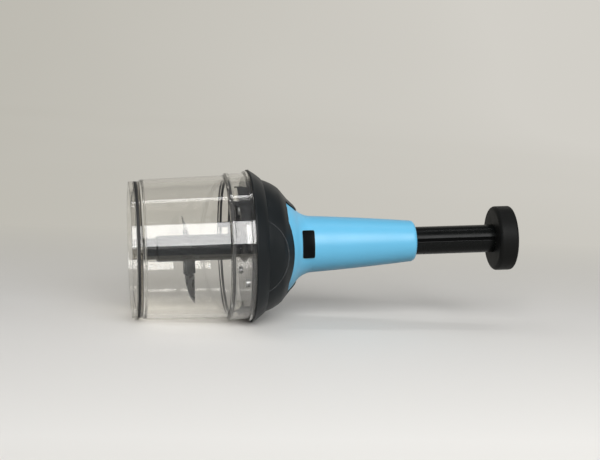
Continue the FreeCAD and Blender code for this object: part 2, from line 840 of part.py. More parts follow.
def make_lid_dome():
    ledge_rad = S.flare_edge_rad - S.handle_wall
    land = S.lid_rim_thick
    raw = ring("dome_turning", [
        (lid_rim_rad, rest_high),
        (lid_rim_rad + rest_slope * land, rest_high + land),
        (lid_rim_rad - S.lid_rim_bevel, rest_high + land + S.lid_rim_bevel, -S.band_curve),
        (S.band_top_rad, S.band_top_at),
    ] + dome_outline() + [
        (S.lobe_rad, S.lobe_at, -S.lobe_curve),
        (S.lobe_tip_rad, S.tongue_top_at),
        (S.neck_rad, S.tongue_top_at),
        (S.neck_rad, S.flange_at),
        (ledge_rad - S.handle_ledge_thick, S.flange_at),
        (ledge_rad - S.handle_ledge_thick, S.flange_at - S.handle_ledge_thick),
        (S.dome_mid_rad - S.dome_wall + S.seat_gap, S.flange_at - S.handle_ledge_thick),
        (S.band_top_rad - S.dome_step - S.dome_wall, S.band_top_at),
        (skirt_rad + S.seat_gap, S.ring_wall_top + S.seat_gap),
        (skirt_rad + S.seat_gap, rest_high),
    ])
    envelope = handle_envelope("dome_seat_for_handle", S.seat_gap)
    front_notch = slab("dome_front_notch", [
        (-S.pad_half, arch_foot_at, S.pad_arch_rad),
        (S.pad_half, arch_foot_at),
        (S.pad_half, beyond),
        (-S.pad_half, beyond),
    ], "Y", 2 * lid_rim_rad)
    tools = [envelope, front_notch]
    wide = lid_rim_rad
    for side in (1, -1):
        notch = slab("dome_side_notch_%s" % ("top" if side > 0 else "under"), [
            (-wide, arch_foot_at),
            (-S.tongue_half, arch_foot_at, tongue_curve),
            (S.tongue_half, arch_foot_at),
            (wide, arch_foot_at),
            (wide, beyond),
            (-wide, beyond),
        ], "X", lid_rim_rad, False)
        if side > 0:
            shift = FreeCAD.Placement(FreeCAD.Vector(S.pad_half.value, 0, 0), FreeCAD.Rotation())
        else:
            shift = FreeCAD.Placement(FreeCAD.Vector(-S.pad_half.value - wide.value, 0, 0), FreeCAD.Rotation())
        notch.Placement = shift.multiply(notch.Placement)
        tools.append(notch)
    body = cut("dome_trimmed", raw, fused("dome_cutters", tools))
    ridge_skin = ring("crescent_skin", dome_outline(S.crescent_proud) + [
        (S.kink_rad - S.crescent_wide, S.kink_at),
        (S.dome_turn_rad - S.crescent_wide, S.dome_turn_at),
        (S.dome_mid_rad - S.crescent_wide, S.dome_mid_at),
        (S.band_top_rad - S.dome_step - S.crescent_wide, S.band_top_at + S.dome_step_rise),
    ])
    tubes = []
    for name, radius in (("outer", S.crescent_rad), ("inner", S.crescent_rad - S.crescent_wide)):
        tube = doc.addObject("Part::Cylinder", "crescent_" + name)
        tube.setExpression("Radius", radius.text)
        tube.setExpression("Height", (2 * lid_rim_rad).text)
        lying = FreeCAD.Rotation(FreeCAD.Vector(1, 0, 0), 90)
        tube.Placement = FreeCAD.Placement(FreeCAD.Vector(0, lid_rim_rad.value, S.crescent_at.value), lying)
        tubes.append(tube)
    crescent = common("crescents", [ridge_skin, cut("crescent_band", tubes[0], tubes[1])])
    body = fused("dome_with_crescents", [body, crescent])
    return keep(flattened("dome_rest", body, lid_rim_rad, rest_high), "lid_dome")


def make_handle():
    wall = S.handle_wall
    shell = ring("handle_turning", flare_outline() + [
        (S.mouth_rad, S.handle_end_at),
        (S.mouth_rad, S.guide_to),
        (S.guide_rad, S.guide_to),
        (S.guide_rad, S.guide_from),
        (S.handle_end_rad - wall, S.guide_from - wall),
        (S.neck_rad - wall, S.neck_at, -(S.neck_curve + wall)),
        (S.flare_mid_rad - wall, S.flare_mid_at - wall / 2),
        (S.flare_bend_rad - wall, S.flare_bend_at - wall / 2),
        (S.flare_edge_rad - wall, S.flange_at),
    ])
    posts = post_rods("handle_post", S.post_rad, S.plate_at + S.plate_thick, S.flare_bend_at)
    skin = ring("handle_post_room", [
        (0, S.plate_at),
        (S.flare_edge_rad - wall, S.plate_at),
        (S.flare_edge_rad - wall / 2, S.flange_at),
        (S.flare_bend_rad - wall / 2, S.flare_bend_at),
        (0, S.flare_bend_at + wall),
    ])
    trimmed = common("handle_posts_trimmed", [fused("handle_posts", posts), skin])
    pilots = post_rods("handle_pilot", S.screw_rad, S.plate_at, S.plate_at + S.screw_long + 2)
    return keep(cut("handle_drilled", fused("handle_solid", [shell, trimmed]), fused("handle_pilots", pilots)),
                "handle")


def make_label_plate():
    place = radial_place(S.label_turn, 0)
    room = block("label_room", place, (0, -S.label_half, S.label_from), (rim_rad, S.label_half, S.label_to))
    skin = handle_envelope("label_skin", S.label_thick)
    return keep(cut("label_seated", common("label_face", [room, skin]), handle_envelope("label_bed")),
                "label_plate")


def make_guide_bush():
    bore = S.tube_rad + S.running_gap
    sleeve = ring("guide_turning", [
        (bore, S.guide_from),
        (S.guide_rad, S.guide_from),
        (S.guide_rad, S.guide_to),
        (bore, S.guide_to),
    ])
    half = S.groove_wide / 2 - S.running_gap
    keys = []
    for at, turn in enumerate(around(S.groove_count, S.groove_turn)):
        place = radial_place(turn, 0)
        keys.append(block("guide_key_%d" % at, place,
                          (S.tube_rad - S.groove_deep + S.running_gap, -half, S.guide_from),
                          (bore + S.part_gap, half, S.guide_to)))
    return keep(fused("guide_with_keys", [sleeve] + keys), "guide_bush")


def make_bearing_bush():
    bore = S.journal_rad + S.running_gap
    return turned("bearing_bush", [
        (bore, S.bearing_from),
        (S.bearing_rad, S.bearing_from),
        (S.bearing_rad, S.bearing_hub_top),
        (bore, S.bearing_hub_top),
    ])


def make_thrust_washer():
    low = S.bearing_hub_top
    high = low + S.washer_thick
    bore = S.journal_rad + S.part_gap
    return turned("thrust_washer", [
        (bore, low),
        (S.collar_wide_rad, low),
        (S.collar_wide_rad, high),
        (bore, high),
    ])


def make_lid_screws():
    heads = post_rods("lid_screw_head", S.screw_head_rad, S.plate_at - S.screw_head_thick, S.plate_at)
    shanks = post_rods("lid_screw_shank", S.screw_rad, S.plate_at - S.screw_head_thick / 2,
                       S.plate_at + S.screw_long)
    group = doc.addObject("Part::Compound", "lid_screw_group")
    group.Links = [fused("lid_screw_%d" % at, pair) for at, pair in enumerate(zip(heads, shanks))]
    return keep(group, "lid_screws")


# ---------------------------------------------------------------------------------------------
# Plunger
# ---------------------------------------------------------------------------------------------
def make_plunger_tube():
    outside = rod("tube_outside", S.tube_rad, S.tube_from, S.tube_to)
    bore = rod("tube_inside", S.tube_bore, S.tube_from - 1, S.tube_to + 1)
    tools = [bore]
    half = S.groove_wide / 2
    for at, turn in enumerate(around(S.groove_count, S.groove_turn)):
        tools.append(block("tube_groove_%d" % at, radial_place(turn, 0),
                           (S.tube_rad - S.groove_deep, -half, S.guide_from - S.part_gap),
                           (S.tube_rad + 1, half, S.groove_to)))
    return keep(cut("tube_grooved", outside, fused("tube_cutters", tools)), "plunger_tube")


def make_plunger_knob():
    hub_rad = S.tube_rad + S.knob_wall
    hub_top = S.tube_to + S.knob_wall
    rim = S.knob_rad - S.knob_wall
    floor = S.knob_from + S.knob_wall
    edge = S.knob_round
    back_edge = S.knob_back_round
    return turned("plunger_knob", [
        (S.tube_rad, S.knob_from),
        (S.knob_rad - edge, S.knob_from, -edge),
        (S.knob_rad, S.knob_from + edge),
        (S.knob_rad, S.knob_to - back_edge, -back_edge),
        (S.knob_rad - back_edge, S.knob_to),
        (rim - S.knob_wall, S.knob_to),
        (rim - S.knob_wall, S.knob_to - S.knob_wall),
        (rim, S.knob_to - S.knob_wall),
        (rim, floor),
        (hub_rad, floor),
        (hub_rad, hub_top),
        (0, hub_top),
        (0, S.tube_to),
        (S.tube_rad, S.tube_to),
    ])


def make_knob_cap():
    rim = S.knob_rad - 2 * S.knob_wall
    top = S.knob_to - S.part_gap
    low = top - S.cap_thick
    return turned("knob_cap", [
        (0, low),
        (rim - 2 * S.knob_wall, low),
        (rim - 2 * S.knob_wall, low - 2 * S.knob_wall),
        (rim - S.knob_wall, low - 2 * S.knob_wall),
        (rim - S.knob_wall, low),
        (rim, low),
        (rim, top),
        (0, top - S.part_gap),
    ])


def make_spring_seat():
    top = S.spring_seat_at + S.spring_seat_thick
    nose = S.spring_rad - S.spring_wire - S.part_gap
    return turned("spring_seat", [
        (0, S.spring_seat_at - 2 * S.spring_seat_thick),
        (nose, S.spring_seat_at - 2 * S.spring_seat_thick),
        (nose, S.spring_seat_at),
        (S.tube_bore, S.spring_seat_at),
        (S.tube_bore, top),
        (0, top),
    ])


# ---------------------------------------------------------------------------------------------
# Twisted drive screw, its nut and the return spring
# ---------------------------------------------------------------------------------------------
def twisted_bar(wide, thick, low, high):
    """A flat bar twisted round the axis at the screw's lead, its phase zero where the twist begins."""
    lead = S.twist_lead.value
    start = S.twist_from.value
    spine = Part.makeLine(FreeCAD.Vector(0, 0, low), FreeCAD.Vector(0, 0, high))
    helix = Part.makeHelix(lead, high - low, wide)
    helix.Placement = FreeCAD.Placement(FreeCAD.Vector(0, 0, low), FreeCAD.Rotation())
    phase = 360.0 * (low - start) / lead
    corners = [(wide / 2, thick / 2), (-wide / 2, thick / 2), (-wide / 2, -thick / 2), (wide / 2, -thick / 2)]
    section = Part.makePolygon([FreeCAD.Vector(x, y, low) for x, y in corners + corners[:1]])
    pipe = Part.BRepOffsetAPI.MakePipeShell(Part.Wire([spine]))
    pipe.setAuxiliarySpine(Part.Wire(helix.Edges), True, 0)
    pipe.add(section)
    pipe.build()
    pipe.makeSolid()
    bar = pipe.shape()
    bar.rotate(FreeCAD.Vector(), FreeCAD.Vector(0, 0, 1), phase)
    return bar


def shape_object(name, shape):
    """A plain object whose shape is worked out from the sheet's sizes."""
    holder = doc.addObject("Part::Feature", name)
    holder.Shape = shape
    return holder


def make_drive_screw():
    shank_from = clutch_from + S.part_gap
    collar_to = S.collar_from + S.collar_thick
    journal = rod("screw_journal", S.journal_rad, shank_from, S.collar_from)
    collar = rod("screw_collar", S.collar_wide_rad, S.collar_from, collar_to)
    twist = shape_object("screw_twist", twisted_bar(
        S.twist_wide.value, S.twist_thick.value, collar_to.value, S.twist_to.value))
    rivet = rod("screw_rivet", S.rivet_rad, S.twist_to, spring_from)
    head = rod("screw_rivet_head", S.rivet_head_rad, spring_from, spring_from + S.rivet_rad / 2)
    return keep(fused("screw_fused", [journal, collar, twist, rivet, head]), "drive_screw")


def make_stop_washer():
    return turned("stop_washer", [
        (S.rivet_rad, S.twist_to),
        (S.stop_rad, S.twist_to),
        (S.stop_rad, spring_from),
        (S.rivet_rad, spring_from),
    ])


def make_clutch_driver():
    face = clutch_from
    return crown("clutch_driver", [
        (S.journal_rad, face),
        (S.head_rad, face),
        (S.head_rad, S.driver_to),
        (S.journal_rad, S.driver_to),
    ], face, S.clutch_tooth)


def make_drive_nut():
    low = S.tube_from + S.nut_lip
    high = low + S.nut_long
    blank = rod("nut_blank", S.tube_bore, low, high)
    play = 2 * S.twist_play.value
    slot = shape_object("nut_slot", twisted_bar(
        S.twist_wide.value + play, S.twist_thick.value + play, low.value - 1, high.value + 1))
    return keep(cut("nut_slotted", blank, slot), "drive_nut")


def make_return_spring():
    wire = S.spring_wire.value
    low = spring_from.value + wire
    high = S.spring_seat_at.value - wire
    mean = S.spring_rad.value
    pitch = (high - low) / S.spring_turns.value
    helix = Part.makeHelix(pitch, high - low, mean)
    circle = Part.makeCircle(wire, FreeCAD.Vector(mean, 0, 0), FreeCAD.Vector(0, 1, 0))
    coil = Part.Wire(helix.Edges).makePipeShell([Part.Wire([circle])], True, True)
    coil.translate(FreeCAD.Vector(0, 0, low))
    return keep(shape_object("spring_coil", coil), "return_spring")


# ---------------------------------------------------------------------------------------------
# Build, lay down on the worktop, check and write
# ---------------------------------------------------------------------------------------------
def lay_down():
    """One Placement for all pieces: the axis leaned so that bowl and lid rim both touch Z = 0."""
    lean = math.atan(rest_slope.value)
    along = FreeCAD.Vector(math.cos(lean), 0, math.sin(lean))
    up = FreeCAD.Vector(-math.sin(lean), 0, math.cos(lean))
    front = FreeCAD.Vector(0, -1, 0)
    turn = FreeCAD.Rotation(up, front, along, "ZXY")
    height = lid_rim_rad.value * math.cos(lean) - rest_high.value * math.sin(lean) - S.rest_flat.value
    laid = FreeCAD.Placement(FreeCAD.Vector(0, 0, height), turn)
    for part in parts:
        part.Placement = laid.multiply(part.Placement)
    doc.recompute()
    box = FreeCAD.BoundBox()
    for part in parts:
        box.add(part.Shape.optimalBoundingBox(False))
    shift = FreeCAD.Placement(FreeCAD.Vector(-box.Center.x, 0, 0), FreeCAD.Rotation())
    for part in parts:
        part.Placement = shift.multiply(part.Placement)
    doc.recompute()
    return shift.multiply(laid), lean


make_bowl()
make_base_ring()
make_pivot_pin()
make_foot_bush()
make_blade_carrier()
make_blade("lower_blade", S.lower_blade_turn, S.lower_blade_at, S.lower_blade_pitch)
make_blade("upper_blade", S.upper_blade_turn, S.upper_blade_at, S.upper_blade_pitch)
make_shaft_sleeve()
make_drive_head()
make_lid_gasket()
make_lid_underside()
make_lid_dome()
make_handle()
make_label_plate()
make_guide_bush()
make_bearing_bush()
make_thrust_washer()
make_lid_screws()
make_plunger_tube()
make_plunger_knob()
make_knob_cap()
make_spring_seat()
make_drive_nut()
make_return_spring()
make_drive_screw()
make_stop_washer()
make_clutch_driver()
doc.recompute()
placed, lean = lay_down()
print("axis passes through", placed.Base, "lean", math.degrees(lean))

for item in doc.Objects:
    if "Invalid" in item.State or "Error" in item.State:
        raise RuntimeError("%s did not build: %s" % (item.Name, item.State))
for part in parts:
    if part.Shape.isNull() or not part.Shape.isValid():
        raise RuntimeError("%s has no valid shape" % part.Label)

os.makedirs("parts", exist_ok=True)
for part in parts:
    part.Shape.exportStep("parts/%s.step" % part.Label)
    print("%-16s solids %d volume %.0f" % (part.Label, len(part.Shape.Solids), part.Shape.Volume))
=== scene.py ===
import json
import math

import bmesh
import bpy
from mathutils import Matrix, Vector


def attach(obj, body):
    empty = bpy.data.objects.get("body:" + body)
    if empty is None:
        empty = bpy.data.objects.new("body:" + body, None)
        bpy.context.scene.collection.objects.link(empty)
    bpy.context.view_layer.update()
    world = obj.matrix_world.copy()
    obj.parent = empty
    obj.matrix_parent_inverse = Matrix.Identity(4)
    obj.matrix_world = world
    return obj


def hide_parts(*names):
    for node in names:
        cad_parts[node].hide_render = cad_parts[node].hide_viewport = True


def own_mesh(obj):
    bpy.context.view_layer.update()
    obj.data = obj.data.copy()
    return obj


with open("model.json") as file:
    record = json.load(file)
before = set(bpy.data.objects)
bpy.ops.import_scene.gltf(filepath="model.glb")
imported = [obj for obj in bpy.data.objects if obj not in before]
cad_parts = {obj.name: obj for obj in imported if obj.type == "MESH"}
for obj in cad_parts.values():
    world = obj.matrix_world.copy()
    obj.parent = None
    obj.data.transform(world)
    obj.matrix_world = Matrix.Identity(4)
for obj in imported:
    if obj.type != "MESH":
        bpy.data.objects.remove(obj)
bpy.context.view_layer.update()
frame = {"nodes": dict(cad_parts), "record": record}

# ---------------------------------------------------------------------------------------------
# The chopper's own axes. Points are (up, front, along) in millimetres from the bowl's base.
# ---------------------------------------------------------------------------------------------
MM = 0.001
joints = frame["record"]["behaviour"]["joints"]
blade_joint = next(joint for joint in joints if joint["name"] == "blade_spin")
BLADE_JOINT_AT = 20.0
ALONG = Vector(blade_joint["axis"]).normalized()
FRONT = Vector((0, -1, 0))
UP = FRONT.cross(ALONG)
BASE = Vector(blade_joint["pos_m"]) - ALONG * BLADE_JOINT_AT * MM
LAY = Matrix.Translation(BASE) @ Matrix((UP, FRONT, ALONG)).transposed().to_4x4() @ Matrix.Scale(MM, 4)
UNLAY = LAY.inverted()

# Places along the axis: the bowl's outer ledge, the shelf inside it, its mouth, the dome's rim and the
# handle's flange. Then the worktop, a hair above the frame's floor.
LEDGE_TOP = 78.8
SHELF = 78.4
MOUTH = 96.9
RIM = 97.0
FLANGE = 118.0
WORKTOP = 0.02 * MM


# ---------------------------------------------------------------------------------------------
# Materials
# ---------------------------------------------------------------------------------------------
class Nodes:
    """A material's node tree, with short calls for the nodes it uses."""

    def __init__(self, name):
        self.material = bpy.data.materials.new(name)
        self.material.use_nodes = True
        self.tree = self.material.node_tree
        self.shader = self.tree.nodes["Principled BSDF"]
        self.output = self.tree.nodes["Material Output"]
        self.place = self.add("ShaderNodeTexCoord").outputs["Object"]

    def add(self, kind, **settings):
        node = self.tree.nodes.new(kind)
        for key, value in settings.items():
            setattr(node, key, value)
        return node

    def join(self, source, target):
        self.tree.links.new(source, target)

    def noise(self, scale, detail=3.0, roughness=0.5, stretch=None):
        node = self.add("ShaderNodeTexNoise")
        node.inputs["Scale"].default_value = scale
        node.inputs["Detail"].default_value = detail
        node.inputs["Roughness"].default_value = roughness
        place = self.place
        if stretch:
            mapping = self.add("ShaderNodeMapping")
            mapping.inputs["Scale"].default_value = stretch
            self.join(place, mapping.inputs["Vector"])
            place = mapping.outputs["Vector"]
        self.join(place, node.inputs["Vector"])
        return node.outputs["Fac"]

    def spread(self, source, low, high, start=0.3, finish=0.7):
        node = self.add("ShaderNodeMapRange")
        for key, value in zip(("From Min", "From Max", "To Min", "To Max"), (start, finish, low, high)):
            node.inputs[key].default_value = value
        self.join(source, node.inputs["Value"])
        return node.outputs["Result"]

    def blend(self, factor, first, second):
        node = self.add("ShaderNodeMix", data_type="RGBA")
        self.join(factor, node.inputs["Factor"])
        node.inputs[6].default_value = (*first, 1)
        node.inputs[7].default_value = (*second, 1)
        return node.outputs[2]

    def bump(self, source, strength, distance):
        node = self.add("ShaderNodeBump")
        node.inputs["Strength"].default_value = strength
        node.inputs["Distance"].default_value = distance
        self.join(source, node.inputs["Height"])
        return node.outputs["Normal"]

    def calc(self, operation, *terms):
        """A math node whose terms are sockets or plain numbers."""
        node = self.add("ShaderNodeMath", operation=operation)
        for term, socket in zip(terms, node.inputs):
            if isinstance(term, float):
                socket.default_value = term
            else:
                self.join(term, socket)
        return node.outputs[0]

    def surface(self, factor, second):
        """The surface: the main shader, and the second one where the factor is 1."""
        mix = self.add("ShaderNodeMixShader")
        self.join(factor, mix.inputs[0])
        self.join(self.shader.outputs[0], mix.inputs[1])
        self.join(second, mix.inputs[2])
        self.join(mix.outputs[0], self.output.inputs["Surface"])


def shade(colour, factor):
    """A colour made darker or lighter by a factor."""
    return tuple(min(1.0, channel * factor) for channel in colour)


# Noise scales are per metre of the scene, and bump distances are metres.
MOTTLE_SCALE, SHEEN_SCALE, GRAIN_SCALE, GRAIN_DEPTH = 38.0, 90.0, 2600.0, 1e-4
SHEEN_SPREAD, COAT_ROUGHNESS = 0.05, 0.12
STEEL_SHEEN_SCALE, STEEL_LINE_DEPTH = 160.0, 5e-5
DUST_SCALE, RUBBER_GRAIN_SCALE = 240.0, 1500.0
CLEAR_IOR, SMEAR_SCALE, SMEAR_STRETCH, SMEAR_ROUGHNESS = 1.57, 26.0, (1.0, 1.0, 0.35), 0.006
WAVE_SCALE, WAVE_STRENGTH, WAVE_DEPTH = 14.0, 0.012, 0.002
SMOKE_COLOUR, SMOKE_DENSITY = (0.30, 0.25, 0.16, 1), 14.0


def plastic(name, colour, roughness, grain=0.06, mottle=0.05, coat=0.0, specular=0.5):
    """Moulded plastic: fine spark-eroded grain, a little uneven sheen and a faint mottle."""
    nodes = Nodes(name)
    inputs = nodes.shader.inputs
    broad = nodes.spread(nodes.noise(MOTTLE_SCALE, 4.0), 0.0, 1.0)
    fine = nodes.noise(GRAIN_SCALE, 2.0)
    sheen = nodes.noise(SHEEN_SCALE, 5.0, 0.6)
    nodes.join(nodes.blend(broad, shade(colour, 1 - mottle), shade(colour, 1 + mottle)), inputs["Base Color"])
    nodes.join(nodes.spread(sheen, roughness - SHEEN_SPREAD, roughness + SHEEN_SPREAD), inputs["Roughness"])
    nodes.join(nodes.bump(fine, grain, GRAIN_DEPTH), inputs["Normal"])
    inputs["Coat Weight"].default_value = coat
    inputs["Coat Roughness"].default_value = COAT_ROUGHNESS
    inputs["Specular IOR Level"].default_value = specular
    return nodes.material


def steel(name, colour=(0.56, 0.57, 0.58), roughness=0.26, stretch=(30.0, 30.0, 900.0)):
    """Ground steel: grinding lines one way, soft patches of sheen."""
    nodes = Nodes(name)
    inputs = nodes.shader.inputs
    lines = nodes.noise(1.0, 4.0, 0.7, stretch)
    sheen = nodes.noise(STEEL_SHEEN_SCALE)
    nodes.join(nodes.blend(nodes.spread(lines, 0.0, 1.0), shade(colour, 0.86), shade(colour, 1.1)),
               inputs["Base Color"])
    nodes.join(nodes.spread(sheen, roughness - 0.07, roughness + 0.08), inputs["Roughness"])
    nodes.join(nodes.bump(lines, 0.25, STEEL_LINE_DEPTH), inputs["Normal"])
    inputs["Metallic"].default_value = 1.0
    return nodes.material


def rubber(name, colour):
    """Dull rubber with a little dust in patches."""
    nodes = Nodes(name)
    inputs = nodes.shader.inputs
    dust = nodes.noise(DUST_SCALE, 5.0, 0.65)
    nodes.join(nodes.blend(nodes.spread(dust, 0.0, 1.0, 0.45, 0.8), colour, shade(colour, 1.9)),
               inputs["Base Color"])
    nodes.join(nodes.spread(dust, 0.55, 0.8), inputs["Roughness"])
    nodes.join(nodes.bump(nodes.noise(RUBBER_GRAIN_SCALE), 0.15, GRAIN_DEPTH), inputs["Normal"])
    return nodes.material


def clear(name, colour):
    """Clear smoky plastic: glass with faint smears and waves, whose shadow lets the lamps through."""
    nodes = Nodes(name)
    inputs = nodes.shader.inputs
    inputs["Base Color"].default_value = (*colour, 1)
    inputs["Transmission Weight"].default_value = 1.0
    inputs["IOR"].default_value = CLEAR_IOR
    smears = nodes.noise(SMEAR_SCALE, 6.0, 0.6, SMEAR_STRETCH)
    nodes.join(nodes.spread(smears, 0.0, SMEAR_ROUGHNESS, 0.45, 0.75), inputs["Roughness"])
    nodes.join(nodes.bump(nodes.noise(WAVE_SCALE, 2.0), WAVE_STRENGTH, WAVE_DEPTH), inputs["Normal"])
    through = nodes.add("ShaderNodeBsdfTransparent")
    through.inputs["Color"].default_value = (*shade(colour, 0.97), 1)
    nodes.surface(nodes.add("ShaderNodeLightPath").outputs["Is Shadow Ray"], through.outputs[0])
    smoke = nodes.add("ShaderNodeVolumeAbsorption")
    smoke.inputs["Color"].default_value = SMOKE_COLOUR
    smoke.inputs["Density"].default_value = SMOKE_DENSITY
    nodes.join(smoke.outputs[0], nodes.output.inputs["Volume"])
    return nodes.material


MATERIALS = {
    "smoky_clear": clear("smoky_clear", (0.975, 0.97, 0.955)),
    "charcoal": plastic("charcoal", (0.0085, 0.0108, 0.0120), 0.40, 0.08, specular=0.17),
    # Painted highlight: the crescent ridges are coloured a lighter grey than the dome's charcoal so that the
    # ridge line reads as catching light. Its lower roughness is surface finish.
    "ridge": plastic("ridge", (0.030, 0.033, 0.036), 0.26, 0.03, mottle=0.02),
    # Painted shade: a matt near-black for the guide grooves, standing in for the shade inside them. The tube
    # is one plastic there.
    "groove_painted_shade": plastic("groove_painted_shade", (0.002, 0.002, 0.002), 0.8, 0.02, specular=0.05),
    "underside": plastic("underside", (0.016, 0.017, 0.018), 0.14, 0.02, coat=0.3),
    "sky_blue": plastic("sky_blue", (0.135, 0.485, 0.735), 0.36, 0.05, mottle=0.02),
    "black": plastic("black", (0.0035, 0.004, 0.0038), 0.26, 0.04, specular=0.13),
    "knob_black": plastic("knob_black", (0.0066, 0.0068, 0.0064), 0.50, 0.14, specular=0.10),
    "shaft_grey": plastic("shaft_grey", (0.012, 0.0138, 0.015), 0.24, 0.04, specular=0.25),
    "white_nylon": plastic("white_nylon", (0.72, 0.71, 0.67), 0.40, 0.05, mottle=0.02),
    "label_face": plastic("label_face", (0.003, 0.0035, 0.004), 0.45, 0.01, specular=0.06),
    "label_border": plastic("label_border", (0.16, 0.34, 0.42), 0.40, 0.02),
    "black_rubber": rubber("black_rubber", (0.012, 0.012, 0.012)),
    "blade_steel": steel("blade_steel"),
    "turned_steel": steel("turned_steel", (0.50, 0.51, 0.52), 0.30, (900.0, 30.0, 30.0)),
    "extruded_alloy": steel("extruded_alloy", (0.66, 0.67, 0.68), 0.36, (30.0, 900.0, 900.0)),
}


# ---------------------------------------------------------------------------------------------
# Shapes. Outlines are in the half plane (radius, along), in millimetres.
# ---------------------------------------------------------------------------------------------
ARC_COUNT_MIN = 4
CORNER_ANGLE, CORNER_SHARE, CORNER_STEPS = 24.0, 0.45, 4
TOO_SHORT = 1e-6
MERGE_DISTANCE = 1e-7
SHARP_EDGE = 40.0


def curve(points, closed=True, step=5.0):
    """Outline points (radius, along[, signed arc radius to the next point]), their arcs drawn in steps of
    at most step degrees."""
    out = []
    for at, point in enumerate(points):
        start = Vector(point[:2])
        out.append(start)
        if len(point) < 3 or (at == len(points) - 1 and not closed):
            continue
        finish = Vector(points[(at + 1) % len(points)][:2])
        chord = finish - start
        reach = abs(point[2])
        side = math.copysign(1.0, point[2])
        left = Vector((-chord.y, chord.x)).normalized()
        drop = math.sqrt(max(reach * reach - (chord.length / 2) ** 2, 0.0))
        centre = (start + finish) / 2 - left * side * drop
        first = math.atan2(start.y - centre.y, start.x - centre.x)
        last = math.atan2(finish.y - centre.y, finish.x - centre.x)
        sweep = (last - first + math.pi) % (2 * math.pi) - math.pi
        count = max(ARC_COUNT_MIN, math.ceil(abs(math.degrees(sweep)) / step))
        for k in range(1, count):
            angle = first + sweep * k / count
            out.append(centre + reach * Vector((math.cos(angle), math.sin(angle))))
    return out


def soften(points, size):
    """Round every sharp corner of a closed outline by about size."""
    out = []
    for at, point in enumerate(points):
        before = point - points[at - 1]
        after = points[(at + 1) % len(points)] - point
        if before.length < TOO_SHORT or after.length < TOO_SHORT:
            continue
        if math.degrees(before.angle(after)) < CORNER_ANGLE:
            out.append(point)
            continue
        reach = min(size, before.length * CORNER_SHARE, after.length * CORNER_SHARE)
        start = point - before.normalized() * reach
        finish = point + after.normalized() * reach
        for k in range(CORNER_STEPS + 1):
            t = k / CORNER_STEPS
            out.append(start * (1 - t) ** 2 + point * 2 * t * (1 - t) + finish * t ** 2)
    return out


def laid(point):
    """A point's place in the scene, not below the worktop: bowl and lid rim have a shallow flat there."""
    x, y, z = LAY @ Vector(point)
    return x, y, max(z, WORKTOP)


def mesh_object(name, points, faces, material, smooth=True):
    """A piece from (up, front, along) points: welded, its faces turned outwards, shaded smooth."""
    mesh = bpy.data.meshes.new(name)
    mesh.from_pydata([laid(p) for p in points], [], faces)
    mesh.validate()
    mesh.update()
    piece = bpy.data.objects.new(name, mesh)
    bpy.context.scene.collection.objects.link(piece)
    mesh.materials.append(MATERIALS[material])
    work = bmesh.new()
    work.from_mesh(mesh)
    bmesh.ops.remove_doubles(work, verts=work.verts, dist=MERGE_DISTANCE)
    bmesh.ops.recalc_face_normals(work, faces=work.faces)
    work.to_mesh(mesh)
    work.free()
    if smooth:
        mesh.shade_smooth()
        mesh.set_sharp_from_angle(angle=math.radians(SHARP_EDGE))
        weighted = piece.modifiers.new("weighted", "WEIGHTED_NORMAL")
        weighted.keep_sharp = True
    return piece


def seat(piece, body, slot, *nodes):
    """Let a piece ride on its body, and stand for its CAD nodes."""
    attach(piece, body)
    if nodes:
        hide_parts(*nodes)
    return piece


def band(rows, row, size):
    """The faces from one row of size points to the next, after the last of all rows to the first."""
    here, there = row * size, ((row + 1) % rows) * size
    return [[here + k, here + (k + 1) % size, there + (k + 1) % size, there + k] for k in range(size)]


def ends(size, last):
    """The two faces that close a run of bands: on its first row and on the one numbered last."""
    return [[k for k in range(size)], [last * size + k for k in range(size)]]


def sheet_faces(rows, across, start=0):
    """The faces of an open sheet of rows by across fields, whose first point has the number start."""
    wide = across + 1
    return [[a, a + 1, a + wide + 1, a + wide]
            for a in (start + i * wide + k for i in range(rows) for k in range(across))]


def spun(outline, segments=192, span=None, middle=0.0):
    """Points and faces of an outline turned about the axis, or through a span about a middle angle, in
    degrees."""
    whole = span is None
    rings = segments if whole else segments + 1
    points, faces = [], []
    for at in range(rings):
        angle = 2 * math.pi * at / segments if whole else math.radians(middle + span * (at / segments - 0.5))
        points += [(p.x * math.cos(angle), p.x * math.sin(angle), p.y) for p in outline]
    for at in range(segments):
        faces += band(rings, at, len(outline))
    if not whole:
        faces += ends(len(outline), segments)
    return points, faces


def turned(points, size, segments=192, span=None, middle=0.0):
    """An outline with its corners rounded by size, turned as spun does."""
    return spun(soften(curve(points), size), segments, span, middle)


def lathe(name, points, material, size=0.4, segments=192):
    """A piece turned all round from a closed outline, its corners rounded by size."""
    return mesh_object(name, *turned(points, size, segments), material)


def joined(*meshes):
    """One set of points and faces from several (points, faces) pairs."""
    points, faces = [], []
    for more, shapes in meshes:
        start = len(points)
        points += more
        faces += [[start + i for i in face] for face in shapes]
    return points, faces


# ---------------------------------------------------------------------------------------------
# Bowl, its ring under the foot and the lid's seal
# ---------------------------------------------------------------------------------------------
ROUND = 256
THIRDS = (0, 120, 240)

bowl_outline = [
    (49.0, 0), (55.8, 0), (55.8, 4.2), (53.2, 4.2), (53.2, 6.4), (55.8, 6.4), (55.8, 8.4),
    (57.133, 9.6), (57.267, 11.6), (59.0, 77.0), (60.3, LEDGE_TOP), (60.8, LEDGE_TOP), (60.8, 81.2),
    (60.3, 81.2), (60.3, 94.2), (62.0, 94.2), (62.0, MOUTH), (57.8, MOUTH), (57.8, SHELF), (55.6, SHELF),
    (53.8, 12.2, 3.4), (50.4, 8.8), (8.4, 8.8), (8.4, 9.7), (3.0, 9.7), (3.0, 5.2), (0.0, 5.2), (0.0, 1.8),
    (8.4, 1.8), (8.4, 3.8), (49.0, 3.8),
]
CATCH_OUTLINE = [(56.3, 89.7), (57.9, 89.7), (57.9, 93.6), (56.3, 92.1)]
CATCH_SPAN, CATCH_TURN = 20.0, 72.5
catches = [turned(CATCH_OUTLINE, 0.3, 12, CATCH_SPAN, CATCH_TURN + turn) for turn in THIRDS]
